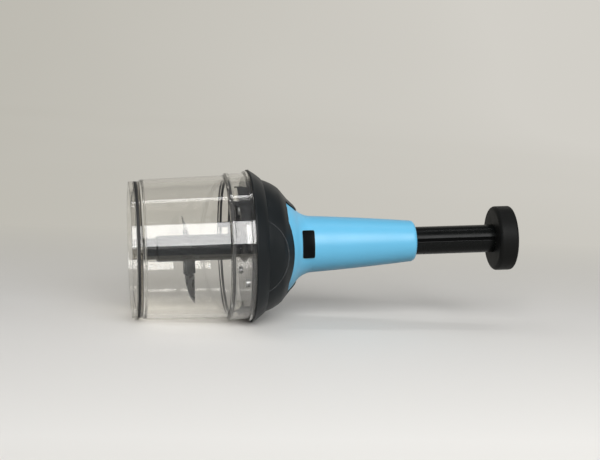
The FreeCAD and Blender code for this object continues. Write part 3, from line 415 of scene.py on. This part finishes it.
seat(mesh_object("bowl_clear", *joined(turned(bowl_outline, 0.4, ROUND), *catches), "smoky_clear"),
     "bowl", "bowl", "bowl")
seat(lathe("foot_ring", [(53.3, 4.2), (55.7, 4.2), (55.7, 6.4), (53.3, 6.4)], "black_rubber", 0.25, ROUND),
     "bowl", "base_ring", "base_ring")
seat(lathe("seal_ring", [(54.3, 79.1), (57.5, 79.1), (57.3, 79.95), (57.5, 80.8), (54.3, 80.8)],
           "black_rubber", 0.3, ROUND), "seal", "lid_gasket", "lid_gasket")

# ---------------------------------------------------------------------------------------------
# Lid: dome, its crescent ridges, handle, label, underside
# ---------------------------------------------------------------------------------------------
PAD_HALF, PAD_ARCH, PAD_TOP = 25.3, 79.0, 130.5
ARCH_FOOT = PAD_TOP - PAD_ARCH + math.sqrt(PAD_ARCH ** 2 - PAD_HALF ** 2)
TONGUE_HALF, TONGUE_TOP = 15.0, 137.2
TONGUE_RISE = TONGUE_TOP - ARCH_FOOT
TONGUE_CURVE = (TONGUE_HALF ** 2 + TONGUE_RISE ** 2) / (2 * TONGUE_RISE)
DOME_BEND, DOME_LOWEST_END = 118.9, 120.0
SEAT_TOP = 119.4
SKIN_STEP = 3.0

dome_skin = curve([(63.0, RIM), (63.08, 98.2), (62.65, 98.55, -60.0), (56.0, 107.6), (54.8, 108.1, -45.0),
                   (49.9, DOME_BEND, -16.3), (46.0, 123.4), (39.0, 129.0), (34.1, 134.1, -12.0),
                   (29.3, TONGUE_TOP), (26.0, 139.3)], False, SKIN_STEP)
handle_skin = curve([(46.8, FLANGE), (46.8, SEAT_TOP), (38.6, 128.0, -38.0), (31.3, 134.8, 20.0),
                     (23.5, 148.2, -2200.0), (17.2, 233.6, -3.6), (13.6, 237.2)], False, SKIN_STEP)


def radius_at(skin, along):
    """The radius of an open outline at a place along the axis."""
    for first, second in zip(skin, skin[1:]):
        if first.y <= along <= second.y and second.y > first.y:
            return first.x + (second.x - first.x) * (along - first.y) / (second.y - first.y)
    return skin[-1].x


def trim(up, front):
    """How far along the axis the dome reaches at a place seen along it: pads in front and behind, tongues
    above and below."""
    if abs(up) < PAD_HALF:
        return PAD_TOP - PAD_ARCH + math.sqrt(PAD_ARCH ** 2 - up * up)
    if abs(front) < TONGUE_HALF:
        return TONGUE_TOP - TONGUE_CURVE + math.sqrt(TONGUE_CURVE ** 2 - front * front)
    return ARCH_FOOT


def dome_end(angle):
    """Where the dome ends along the axis at one angle, found by halving the range."""
    low, high = DOME_LOWEST_END, TONGUE_TOP
    for _ in range(40):
        middle = (low + high) / 2
        radius = radius_at(dome_skin, middle)
        if middle < trim(radius * math.cos(angle), radius * math.sin(angle)):
            low = middle
        else:
            high = middle
    return low


DOME_EDGE, DOME_GAP, DOME_LIP = 0.8, 0.1, 0.3
DOME_SEGMENTS, DOME_UPPER_ROWS, DOME_UNDER_ROWS = 360, 12, 8
DOME_INSIDE = ((46.9, FLANGE), (42.5, FLANGE), (42.5, 115.5), (47.4, 115.5), (52.2, 107.6), (55.7, 100.8),
               (55.7, RIM))


def dome_section(angle):
    """The dome's closed section at one angle, always with the same number of points."""
    fixed = [p for p in dome_skin if p.y <= DOME_BEND]
    end = dome_end(angle)
    upper = [DOME_BEND + (end - DOME_EDGE - DOME_BEND) * k / DOME_UPPER_ROWS
             for k in range(1, DOME_UPPER_ROWS + 1)]
    skin = fixed + [Vector((radius_at(dome_skin, s), s)) for s in upper]
    outer = Vector((radius_at(dome_skin, end), end))
    inner = Vector((radius_at(handle_skin, end) + DOME_GAP, end))
    turn = [skin[-1] * (1 - t) ** 2 + outer * 2 * t * (1 - t) + (outer + (inner - outer) * DOME_LIP) * t * t
            for t in (0.25, 0.5, 0.75, 1.0)]
    under = [Vector((radius_at(handle_skin, s) + DOME_GAP, s))
             for s in (end - (end - SEAT_TOP) * k / DOME_UNDER_ROWS for k in range(DOME_UNDER_ROWS + 1))]
    return skin + turn + under + [Vector(p) for p in DOME_INSIDE]


def dome():
    """The dome's sections, one at each angle round the axis."""
    points, faces = [], []
    for at in range(DOME_SEGMENTS):
        angle = 2 * math.pi * at / DOME_SEGMENTS
        section = dome_section(angle)
        points += [(p.x * math.cos(angle), p.x * math.sin(angle), p.y) for p in section]
        faces += band(DOME_SEGMENTS, at, len(section))
    return points, faces


seat(mesh_object("dome_shell", *dome(), "charcoal"), "lid", "lid_dome", "lid_dome")

CRESCENT_RAD, CRESCENT_AT, CRESCENT_FROM, CRESCENT_WIDE, CRESCENT_HIGH = 33.0, 91.6, 105.0, 0.9, 0.6
CRESCENT_TAPER, CRESCENT_ROUND, CRESCENT_SUNK = 0.4, 0.6, 0.15


def crescent(side):
    """A raised line on the dome's front (side 1) or back (side -1), thinner towards both ends."""
    rows, across = 90, 8
    points = []
    limit = math.acos((CRESCENT_FROM - CRESCENT_AT) / CRESCENT_RAD)
    for i in range(rows + 1):
        phi = limit * (2 * i / rows - 1)
        taper = math.sin(math.pi * i / rows) ** CRESCENT_TAPER
        for k in range(across + 1):
            reach = CRESCENT_RAD - CRESCENT_WIDE * taper * (k / across - 0.5)
            along = CRESCENT_AT + reach * math.cos(phi)
            high = reach * math.sin(phi)
            radius = radius_at(dome_skin, along)
            depth = math.sqrt(max(radius * radius - high * high, 0.0))
            slope = radius_at(dome_skin, along - 0.5) - radius_at(dome_skin, along + 0.5)
            normal = Vector((high / radius, side * depth / radius, slope)).normalized()
            proud = CRESCENT_HIGH * taper * math.sin(math.pi * k / across) ** CRESCENT_ROUND - CRESCENT_SUNK
            points.append(tuple(Vector((high, side * depth, along)) + normal * proud))
    return points, sheet_faces(rows, across)


# The ridges take the lighter material: a painted highlight along the ridge line.
seat(mesh_object("crescent_ridges", *joined(crescent(1), crescent(-1)), "ridge"), "lid", "lid_dome")

handle_outline = [(p.x, p.y) for p in handle_skin] + [
    (12.3, 237.2), (12.3, 234.7), (14.0, 234.7), (14.0, 226.7), (15.4, 224.9), (21.7, 148.2, -21.8),
    (29.5, 133.9), (36.8, 127.1), (45.0, FLANGE)]
POST_OUTLINE = [(0.0, 96.1), (3.9, 96.1), (3.9, 121.0), (0.0, 121.0)]
POST_REACH, POST_TURNS = 36.0, (45, 135, 225, 315)


def post(turn):
    """One of the four screw posts inside the handle's flange."""
    points, faces = turned(POST_OUTLINE, 0.3, 24)
    angle = math.radians(turn)
    up, front = POST_REACH * math.cos(angle), POST_REACH * math.sin(angle)
    return [(u + up, f + front, s) for u, f, s in points], faces


posts = [post(turn) for turn in POST_TURNS]
seat(mesh_object("handle_shell", *joined(turned(handle_outline, 0.35, ROUND), *posts), "sky_blue"),
     "lid", "handle", "handle")

LABEL_TURN, LABEL_HALF, LABEL_FROM, LABEL_TO, LABEL_CORNER, LABEL_THICK = 79.5, 11.4, 138.6, 149.6, 1.3, 0.6


def label_patch(grow, proud):
    """A rounded rectangle laid on the handle's neck, its outer face proud of the handle."""
    half, low, high, corner = LABEL_HALF + grow, LABEL_FROM - grow, LABEL_TO + grow, LABEL_CORNER
    middle, tall = (low + high) / 2, (high - low) / 2
    rows, across = 24, 36
    points = []
    for lift in (proud, proud - LABEL_THICK):
        for i in range(rows + 1):
            for k in range(across + 1):
                x = -half + 2 * half * k / across
                s = low + (high - low) * i / rows
                edge_x = max(abs(x) - (half - corner), 0.0)
                edge_s = max(abs(s - middle) - (tall - corner), 0.0)
                reach = math.hypot(edge_x, edge_s)
                if reach > corner:
                    pull = corner / reach
                    x = math.copysign(half - corner + edge_x * pull, x)
                    s = middle + math.copysign(tall - corner + edge_s * pull, s - middle)
                radius = radius_at(handle_skin, s)
                angle = math.radians(LABEL_TURN) + math.asin(max(-1, min(1, x / radius)))
                radius += lift
                points.append((radius * math.cos(angle), radius * math.sin(angle), s))
    wide, sheet = across + 1, (rows + 1) * (across + 1)
    rim = ([k for k in range(wide)] + [i * wide + across for i in range(1, rows + 1)]
           + [rows * wide + k for k in range(across - 1, -1, -1)]
           + [i * wide for i in range(rows - 1, 0, -1)])
    side = [[a, b, sheet + b, sheet + a] for a, b in zip(rim, rim[1:] + rim[:1])]
    return points, sheet_faces(rows, across) + sheet_faces(rows, across, sheet) + side


seat(mesh_object("label_border", *label_patch(0.0, 0.40), "label_border"), "lid", "label_plate")
seat(mesh_object("label_face", *label_patch(-0.22, 0.50), "label_face"), "lid", "label_plate", "label_plate")

underside = [(9.3, 90.1), (10.6, 90.1), (13.8, 93.5), (57.0, 93.5), (57.0, 96.1), (55.6, 96.1), (55.6, 100.7),
             (53.6, 100.7), (53.6, 96.1), (12.0, 96.1), (12.0, 105.6), (8.0, 105.6), (8.0, 97.4), (9.3, 97.4)]
SKIRT_PANEL = [(53.6, 86.0), (55.6, 86.0), (55.6, 93.6), (53.6, 93.6)]
LUG = [(55.5, 87.0), (57.1, 87.0), (57.1, 89.2), (55.5, 89.2)]
SEAL_HOOK = [(52.9, 77.2), (55.2, 77.2), (55.2, 78.3), (54.0, 78.3), (54.0, 88.2), (52.9, 88.2)]
PANEL_SPAN, LUG_SPAN, HOOK_SPAN, LUG_TURN = 37.0, 16.0, 5.0, 40.5
details = []
for turn in THIRDS:
    details += [turned(SKIRT_PANEL, 0.3, 24, PANEL_SPAN, LUG_TURN + turn),
                turned(LUG, 0.25, 12, LUG_SPAN, LUG_TURN + turn),
                turned(SEAL_HOOK, 0.2, 6, HOOK_SPAN, LUG_TURN + turn)]
seat(mesh_object("lid_inner_plate", *joined(turned(underside, 0.3, ROUND), *details), "underside"),
     "lid", "lid_underside", "lid_underside")

# ---------------------------------------------------------------------------------------------
# Plunger: tube with its guide grooves, knob and cap, and the spring inside
# ---------------------------------------------------------------------------------------------
TUBE_RAD, TUBE_BORE, TUBE_LOW, TUBE_TOP = 11.7, 9.9, 171.0, 311.0
GROOVE_HALF, GROOVE_DEEP, GROOVE_TURN, GROOVE_EDGE = 1.2, 1.1, 79.5, 0.12
GROOVE_FROM, GROOVE_TO, GROOVE_END = 226.4, 305.05, 0.15
WALL_IN, WALL_OUT, SKIN_POINTS, SKIN_START, SKIN_SPAN = 0.98, 1.02, 60, 0.015, 0.97


def tube_ring(grooved, radius):
    """The tube's outside at one place, as (radius, angle): a circle with its two guide grooves, whose
    corners are eased."""
    ring = []
    for side in (0, 180):
        middle = math.radians(GROOVE_TURN + side)
        half = math.asin(GROOVE_HALF / radius)
        deep = radius - (GROOVE_DEEP if grooved else 0.0)
        ring += [(deep, middle + half * share) for share in (-WALL_IN, -0.5, 0.5, WALL_IN)]
        lip = radius - (GROOVE_EDGE if grooved else 0.0)
        ring.append((lip, middle + half * WALL_OUT))
        for k in range(SKIN_POINTS):
            t = SKIN_START + SKIN_SPAN * k / (SKIN_POINTS - 1)
            ring.append((radius, middle + half * WALL_OUT + (math.pi - 2 * WALL_OUT * half) * t))
        ring.append((lip, middle + math.pi - half * WALL_OUT))
    return ring


def tube():
    """The tube's outside from its lower end to its top, then its bore back down."""
    rows = [(TUBE_LOW, 10.9, False), (171.5, TUBE_RAD, False), (GROOVE_FROM, TUBE_RAD, False),
            (GROOVE_FROM + GROOVE_END, TUBE_RAD, True), (GROOVE_TO - GROOVE_END, TUBE_RAD, True),
            (GROOVE_TO, TUBE_RAD, False), (TUBE_TOP, TUBE_RAD, False)]
    points, faces = [], []
    for s, radius, grooved in rows:
        points += [(r * math.cos(a), r * math.sin(a), s) for r, a in tube_ring(grooved, radius)]
    plain = tube_ring(False, TUBE_RAD)
    for s in (TUBE_TOP, TUBE_LOW):
        points += [(TUBE_BORE * math.cos(a), TUBE_BORE * math.sin(a), s) for _, a in plain]
    count = len(rows) + 2
    for row in range(count):
        faces += band(count, row, len(plain))
    return points, faces


push_tube = seat(mesh_object("push_tube", *tube(), "black"), "plunger", "plunger_tube", "plunger_tube")
# Painted shade: the faces inside the guide grooves take the flat near-black material in place of the tube's
# black, standing in for the shade in the recess.
push_tube.data.materials.append(MATERIALS["groove_painted_shade"])
for face in push_tube.data.polygons:
    spot = UNLAY @ face.center
    in_wall = TUBE_BORE + 0.2 < spot.xy.length < TUBE_RAD - 0.3
    if in_wall and GROOVE_FROM - 0.4 < spot.z < GROOVE_TO + 0.45:
        face.material_index = 1

seat(lathe("push_knob", [
    (11.7, 305.6), (23.9, 305.6, -3.2), (27.1, 308.8), (27.1, 319.2, -2.4), (24.7, 321.6), (23.3, 321.6),
    (23.3, 319.7), (25.2, 319.7), (25.2, 307.5), (13.6, 307.5), (13.6, 312.9), (0.0, 312.9), (0.0, 311.0),
    (11.7, 311.0)], "knob_black", 0.4, ROUND), "plunger", "plunger_knob", "plunger_knob")
seat(lathe("knob_end", [
    (0.0, 319.7), (19.5, 319.7), (19.5, 315.9), (21.4, 315.9), (21.4, 319.7), (23.3, 319.7), (23.3, 321.3),
    (0.0, 321.0)], "knob_black", 0.3, ROUND), "plunger", "knob_cap", "knob_cap")

SPRING_SEAT, SPRING_STOP, PRESS = 297.0, 192.0, 60.0


def coil():
    """The return spring's wire, wound evenly from the stop washer to the spring seat."""
    rad, wire, turns, steps, sides = 7.2, 0.5, 11, 24, 8
    low, high = SPRING_STOP + wire, SPRING_SEAT - wire
    last = turns * steps
    points, faces = [], []
    for at in range(last + 1):
        angle = 2 * math.pi * at / steps
        along = low + (high - low) * at / last
        for k in range(sides):
            side = 2 * math.pi * k / sides
            reach = rad + wire * math.cos(side)
            points.append((reach * math.cos(angle), reach * math.sin(angle), along + wire * math.sin(side)))
    for at in range(last):
        faces += band(last + 1, at, sides)
    return points, faces + ends(sides, last)


spring = seat(mesh_object("return_coil", *coil(), "turned_steel"),
              "plunger", "return_spring", "return_spring")
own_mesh(spring)

# ---------------------------------------------------------------------------------------------
# Blade unit: foot bush, carrier with its two arms, sickle blades, sleeve and toothed coupling
# ---------------------------------------------------------------------------------------------
seat(lathe("shaft_foot", [
    (3.06, 10.0), (10.0, 10.0), (10.0, 12.2), (8.7, 12.2), (8.7, 21.3), (9.4, 21.3, -2.6), (10.7, 23.9),
    (10.7, 40.2), (0.0, 40.2), (0.0, 26.3), (3.06, 26.3)], "shaft_grey", 0.3),
    "blade_unit", "foot_bush", "foot_bush")
seat(lathe("shaft_tube", [
    (8.3, 54.6), (10.7, 54.6), (10.7, 83.0), (12.8, 83.0), (12.8, 84.6), (8.3, 84.6)], "shaft_grey", 0.3),
    "blade_unit", "shaft_sleeve", "shaft_sleeve")

# Where each blade sits: turn about the axis, place along it, and the blade's own pitch.
BLADES = {"lower_blade": (172.0, 48.1, 37.0), "upper_blade": (288.0, 48.9, -27.0)}
BLADE_HALF, BLADE_THICK, BLADE_BACK, BLADE_TIP, BLADE_SWEEP = 6.7, 1.0, 12.0, 46.6, 38.0
ARM_REACH, ARM_INSIDE, ARM_HALF, ARM_THICK, ARM_EASE = 21.4, 8.4, 6.6, 1.8, 0.5
BEVEL, BEVEL_SHARE, EDGE_THIN, TIP_EASE = 2.6, 0.7, 0.12, 0.1


def blade_frame(turn, height, pitch):
    """The frame of a piece on the blade unit: x outwards, y across, z its own normal."""
    return (Matrix.Translation((0, 0, height)) @ Matrix.Rotation(math.radians(turn), 4, "Z")
            @ Matrix.Rotation(math.radians(pitch), 4, "X"))


def placed(frame_at, points):
    """Points of a frame as (up, front, along)."""
    return [tuple(frame_at @ Vector(p)) for p in points]


def sickle(frame_at):
    """A flat blade with a straight back, its swept edge ground thin from one side."""
    swept = curve([(ARM_REACH, -BLADE_HALF, -BLADE_SWEEP), (BLADE_TIP, BLADE_HALF)], False, 2.0)
    stations = ([(BLADE_BACK, -BLADE_HALF)] + [(p.x, p.y) for p in swept[:-1]]
                + [(BLADE_TIP - TIP_EASE, BLADE_HALF - TIP_EASE)])
    top = BLADE_THICK / 2
    points, faces = [], []
    for x, edge in stations:
        ground = min(BEVEL, (BLADE_HALF - edge) * BEVEL_SHARE)
        section = ((BLADE_HALF, top), (edge + ground, top), (edge, EDGE_THIN - top), (edge, -top),
                   (BLADE_HALF, -top))
        points += [(x, y, z) for y, z in section]
    last = len(stations) - 1
    for at in range(last):
        faces += band(last + 1, at, len(section))
    return placed(frame_at, points), faces + ends(len(section), last)


def arm(frame_at):
    """A holder block that reaches from the carrier round a blade's root, its edges eased."""
    half, thick, ease = ARM_HALF, ARM_THICK, ARM_EASE
    corners = ((-half, -thick), (half, -thick), (half, thick), (-half, thick))
    section = soften([Vector(p) for p in corners], ease)
    rows = ((ARM_INSIDE, 0.0), (ARM_REACH - ease, 0.0), (ARM_REACH - ease * 0.3, ease * 0.3),
            (ARM_REACH, ease))
    points, faces = [], []
    for x, shrink in rows:
        points += [(x, p.x * (1 - shrink / half), p.y * (1 - shrink / thick)) for p in section]
    last = len(rows) - 1
    for row in range(last):
        faces += band(last + 1, row, len(section))
    return placed(frame_at, points), faces + ends(len(section), last)


def carved(piece, *cutters):
    """The piece with other pieces' shapes cut out of it."""
    for cutter in cutters:
        cut = piece.modifiers.new("cut", "BOOLEAN")
        cut.object = cutter
        cut.solver = "EXACT"
    shape = bpy.data.meshes.new_from_object(piece.evaluated_get(bpy.context.evaluated_depsgraph_get()))
    piece.modifiers.clear()
    piece.data = shape
    for cutter in cutters:
        bpy.data.objects.remove(cutter)
    return piece


hub = lathe("carrier_hub", [
    (8.3, 40.2), (10.9, 40.2), (10.9, 50.0), (10.55, 50.0), (10.55, 50.5), (10.9, 50.5), (10.9, 54.6),
    (8.3, 54.6)], "shaft_grey", 0.2, ROUND)
SLIT_PLACE = (117.0, 44.8, -15.0)
slit_corners = [(x, y, z) for x in (10.0, 11.8) for y in (-0.4, 0.4) for z in (-4.1, 4.1)]
slit_faces = [[0, 1, 3, 2], [4, 6, 7, 5], [0, 4, 5, 1], [2, 3, 7, 6], [0, 2, 6, 4], [1, 5, 7, 3]]
slit_points = placed(blade_frame(*SLIT_PLACE), slit_corners)
slit = mesh_object("slit_cutter", slit_points, slit_faces, "shaft_grey", False)
seat(carved(hub, slit), "blade_unit", "blade_carrier", "blade_carrier")
arms = [arm(blade_frame(*place)) for place in BLADES.values()]
seat(mesh_object("blade_holders", *joined(*arms), "shaft_grey"), "blade_unit", "blade_carrier")
for node, blade_place in BLADES.items():
    seat(mesh_object(node + "_ground", *sickle(blade_frame(*blade_place)), "blade_steel"),
         "blade_unit", node, node)

TEETH, TOOTH_DEEP, TOOTH_PITCH, TOOTH_START = 8, 1.8, 45.0, -11.25
TOOTH_RAMP, TOOTH_END, TOOTH_LAND = 22.49, 22.5, 7.5


def coupling():
    """A ring whose top is cut into saw teeth: each falls along a ramp, then stands up and runs level."""
    inner, lower, outer, foot, step_at, top = 5.3, 8.2, 8.9, 78.6, 84.6, 90.6
    stations = []
    for k in range(TEETH):
        start = TOOTH_PITCH * k + TOOTH_START
        stations += [(start, top), (start + TOOTH_RAMP, top - TOOTH_DEEP), (start + TOOTH_END, top)]
        stations += [(start + TOOTH_END + TOOTH_LAND * step, top) for step in (1, 2)]
    points, faces = [], []
    for at, (degrees, crest) in enumerate(stations):
        angle = math.radians(degrees)
        section = ((inner, foot), (lower, foot), (lower, step_at), (outer, step_at), (outer, crest),
                   (inner, crest))
        points += [(radius * math.cos(angle), radius * math.sin(angle), along) for radius, along in section]
        faces += band(len(stations), at, len(section))
    return points, faces


seat(mesh_object("toothed_coupling", *coupling(), "shaft_grey"), "blade_unit", "drive_head", "drive_head")

# ---------------------------------------------------------------------------------------------
# Every carried-over solid gets its material
# ---------------------------------------------------------------------------------------------
FINISHES = {
    "bowl": "smoky_clear", "base_ring": "black_rubber", "lid_gasket": "black_rubber",
    "pivot_pin": "turned_steel", "foot_bush": "shaft_grey", "blade_carrier": "shaft_grey",
    "lower_blade": "blade_steel", "upper_blade": "blade_steel", "shaft_sleeve": "shaft_grey",
    "drive_head": "shaft_grey", "lid_underside": "underside", "lid_dome": "charcoal", "handle": "sky_blue",
    "label_plate": "label_face", "guide_bush": "black", "bearing_bush": "white_nylon",
    "thrust_washer": "turned_steel", "lid_screws": "turned_steel", "plunger_tube": "black",
    "plunger_knob": "knob_black", "knob_cap": "knob_black", "drive_nut": "white_nylon",
    "spring_seat": "white_nylon", "return_spring": "turned_steel", "drive_screw": "extruded_alloy",
    "stop_washer": "turned_steel", "clutch_driver": "white_nylon",
}
for node, finish in FINISHES.items():
    solid = frame["nodes"][node]
    if not solid.material_slots:
        solid.data.materials.append(MATERIALS[finish])
    for slot in solid.material_slots:
        slot.material = MATERIALS[finish]

# ---------------------------------------------------------------------------------------------
# Stage, lamps and camera
# ---------------------------------------------------------------------------------------------
STAGE_HALF, STAGE_FRONT, STAGE_BACK, STAGE_CURL, STAGE_HIGH, CURL_STEPS = 12.0, -12.0, 2.4, 0.5, 2.6, 12
FLOOR_LIT, FLOOR_SEEN = (0.22, 0.205, 0.18), (0.80, 0.785, 0.755)
FLOOR_ROUGHNESS, FLOOR_SPECULAR = 0.6, 0.15
GLOW_LEFT, GLOW_RIGHT, GLOW_FROM, GLOW_TO = (0.505, 0.488, 0.437), (0.645, 0.625, 0.578), -0.25, 1.05
DRIFT_SCALE, DRIFT = 1.3, 0.4
# Where the floor's own look turns into the glow: behind, in front, and to the left and right.
BEHIND = (0.05, 0.42)
OUTWARD = (("Y", -0.31, -0.60), ("X", -0.45, -0.85), ("X", 0.50, 0.90))


def backdrop():
    """A pale floor that keeps the shadow, and a plain wall far behind it. The camera, gloss and glass see a
    paler floor than the lamps light, and further out they see an even glow instead."""
    profile = [(STAGE_FRONT, 0.0), (STAGE_BACK - STAGE_CURL, 0.0)]
    for k in range(1, CURL_STEPS + 1):
        angle = math.pi / 2 * k / CURL_STEPS
        profile.append((STAGE_BACK - STAGE_CURL + STAGE_CURL * math.sin(angle),
                        STAGE_CURL - STAGE_CURL * math.cos(angle)))
    profile.append((STAGE_BACK, STAGE_HIGH))
    points = [(x, y, z) for x in (-STAGE_HALF, STAGE_HALF) for y, z in profile]
    count = len(profile)
    mesh = bpy.data.meshes.new("backdrop")
    mesh.from_pydata(points, [], [[k, k + 1, count + k + 1, count + k] for k in range(count - 1)])
    mesh.shade_smooth()
    stage = Nodes("pale_stage")
    path = stage.add("ShaderNodeLightPath")
    seen = path.outputs["Is Camera Ray"]
    for ray in ("Is Glossy Ray", "Is Transmission Ray"):
        seen = stage.calc("MAXIMUM", seen, path.outputs[ray])
    split = stage.add("ShaderNodeSeparateXYZ")
    stage.join(stage.place, split.inputs[0])
    drift = stage.calc("MULTIPLY_ADD", stage.noise(DRIFT_SCALE, 2.0), DRIFT, split.outputs["X"])
    glow = stage.add("ShaderNodeEmission")
    stage.join(stage.blend(stage.spread(drift, 0.0, 1.0, GLOW_FROM, GLOW_TO), GLOW_LEFT, GLOW_RIGHT),
               glow.inputs["Color"])
    beyond = stage.spread(split.outputs["Y"], 0.0, 1.0, *BEHIND)
    for axis, start, finish in OUTWARD:
        beyond = stage.calc("MAXIMUM", beyond, stage.spread(split.outputs[axis], 0.0, 1.0, start, finish))
    stage.join(stage.blend(seen, FLOOR_LIT, FLOOR_SEEN), stage.shader.inputs["Base Color"])
    stage.shader.inputs["Roughness"].default_value = FLOOR_ROUGHNESS
    stage.shader.inputs["Specular IOR Level"].default_value = FLOOR_SPECULAR
    stage.surface(stage.calc("MULTIPLY", beyond, seen), glow.outputs[0])
    mesh.materials.append(stage.material)
    sweep = bpy.data.objects.new("backdrop", mesh)
    bpy.context.scene.collection.objects.link(sweep)


backdrop()


def lamp(name, place, target, size, power):
    """A white rectangular lamp at a place, turned to a target, with its size in metres and power in watts."""
    data = bpy.data.lights.new(name, "AREA")
    data.shape = "RECTANGLE"
    data.size, data.size_y = size
    data.energy = power
    light = bpy.data.objects.new(name, data)
    light.location = place
    light.rotation_euler = (Vector(target) - Vector(place)).to_track_quat("-Z", "Y").to_euler()
    bpy.context.scene.collection.objects.link(light)


lamp("window", (0.10, -1.16, 0.80), (0, 0, 0.06), (1.3, 0.86), 21.0)
lamp("ceiling", (0.0, 0.06, 1.1), (0, 0, 0.06), (1.4, 0.05), 1.5)
lamp("fill", (1.1, -0.45, 0.45), (0.05, 0, 0.06), (0.5, 0.7), 1.6)

WORLD_COLOUR, WORLD_STRENGTH = (0.97, 0.98, 1.0, 1), 0.18
world = bpy.data.worlds.new("studio")
world.use_nodes = True
sky = world.node_tree.nodes["Background"]
sky.inputs["Color"].default_value = WORLD_COLOUR
sky.inputs["Strength"].default_value = WORLD_STRENGTH
bpy.context.scene.world = world

# The camera fitted to the photo, in the chopper's axes: (along, back, up), in millimetres from the base.
CAMERA_RIGHT = Vector((0.98746, -0.15787, -0.00199))
CAMERA_OVER = Vector((0.03010, 0.17588, 0.98395))
CAMERA_AWAY = Vector((0.15499, 0.97167, -0.17842))
CAMERA_PLACE = Vector((-39.373, -1128.439, 219.346))
SENSOR, LENS, CLIP_START = 36.0, 84.0, 0.01
camera = bpy.data.objects.new("camera", bpy.data.cameras.new("camera"))
bpy.context.scene.collection.objects.link(camera)
bpy.context.scene.camera = camera
to_scene = Matrix((ALONG, (0, 1, 0), UP)).transposed()
right, over, away = (to_scene @ axis for axis in (CAMERA_RIGHT, CAMERA_OVER, CAMERA_AWAY))
camera_at = BASE + to_scene @ CAMERA_PLACE * MM
camera.matrix_world = Matrix.Translation(camera_at) @ Matrix((right, over, -away)).transposed().to_4x4()
camera.data.sensor_fit = "HORIZONTAL"
camera.data.sensor_width = SENSOR
camera.data.lens = LENS
camera.data.clip_start = CLIP_START
bpy.context.scene.view_settings.view_transform = "Standard"
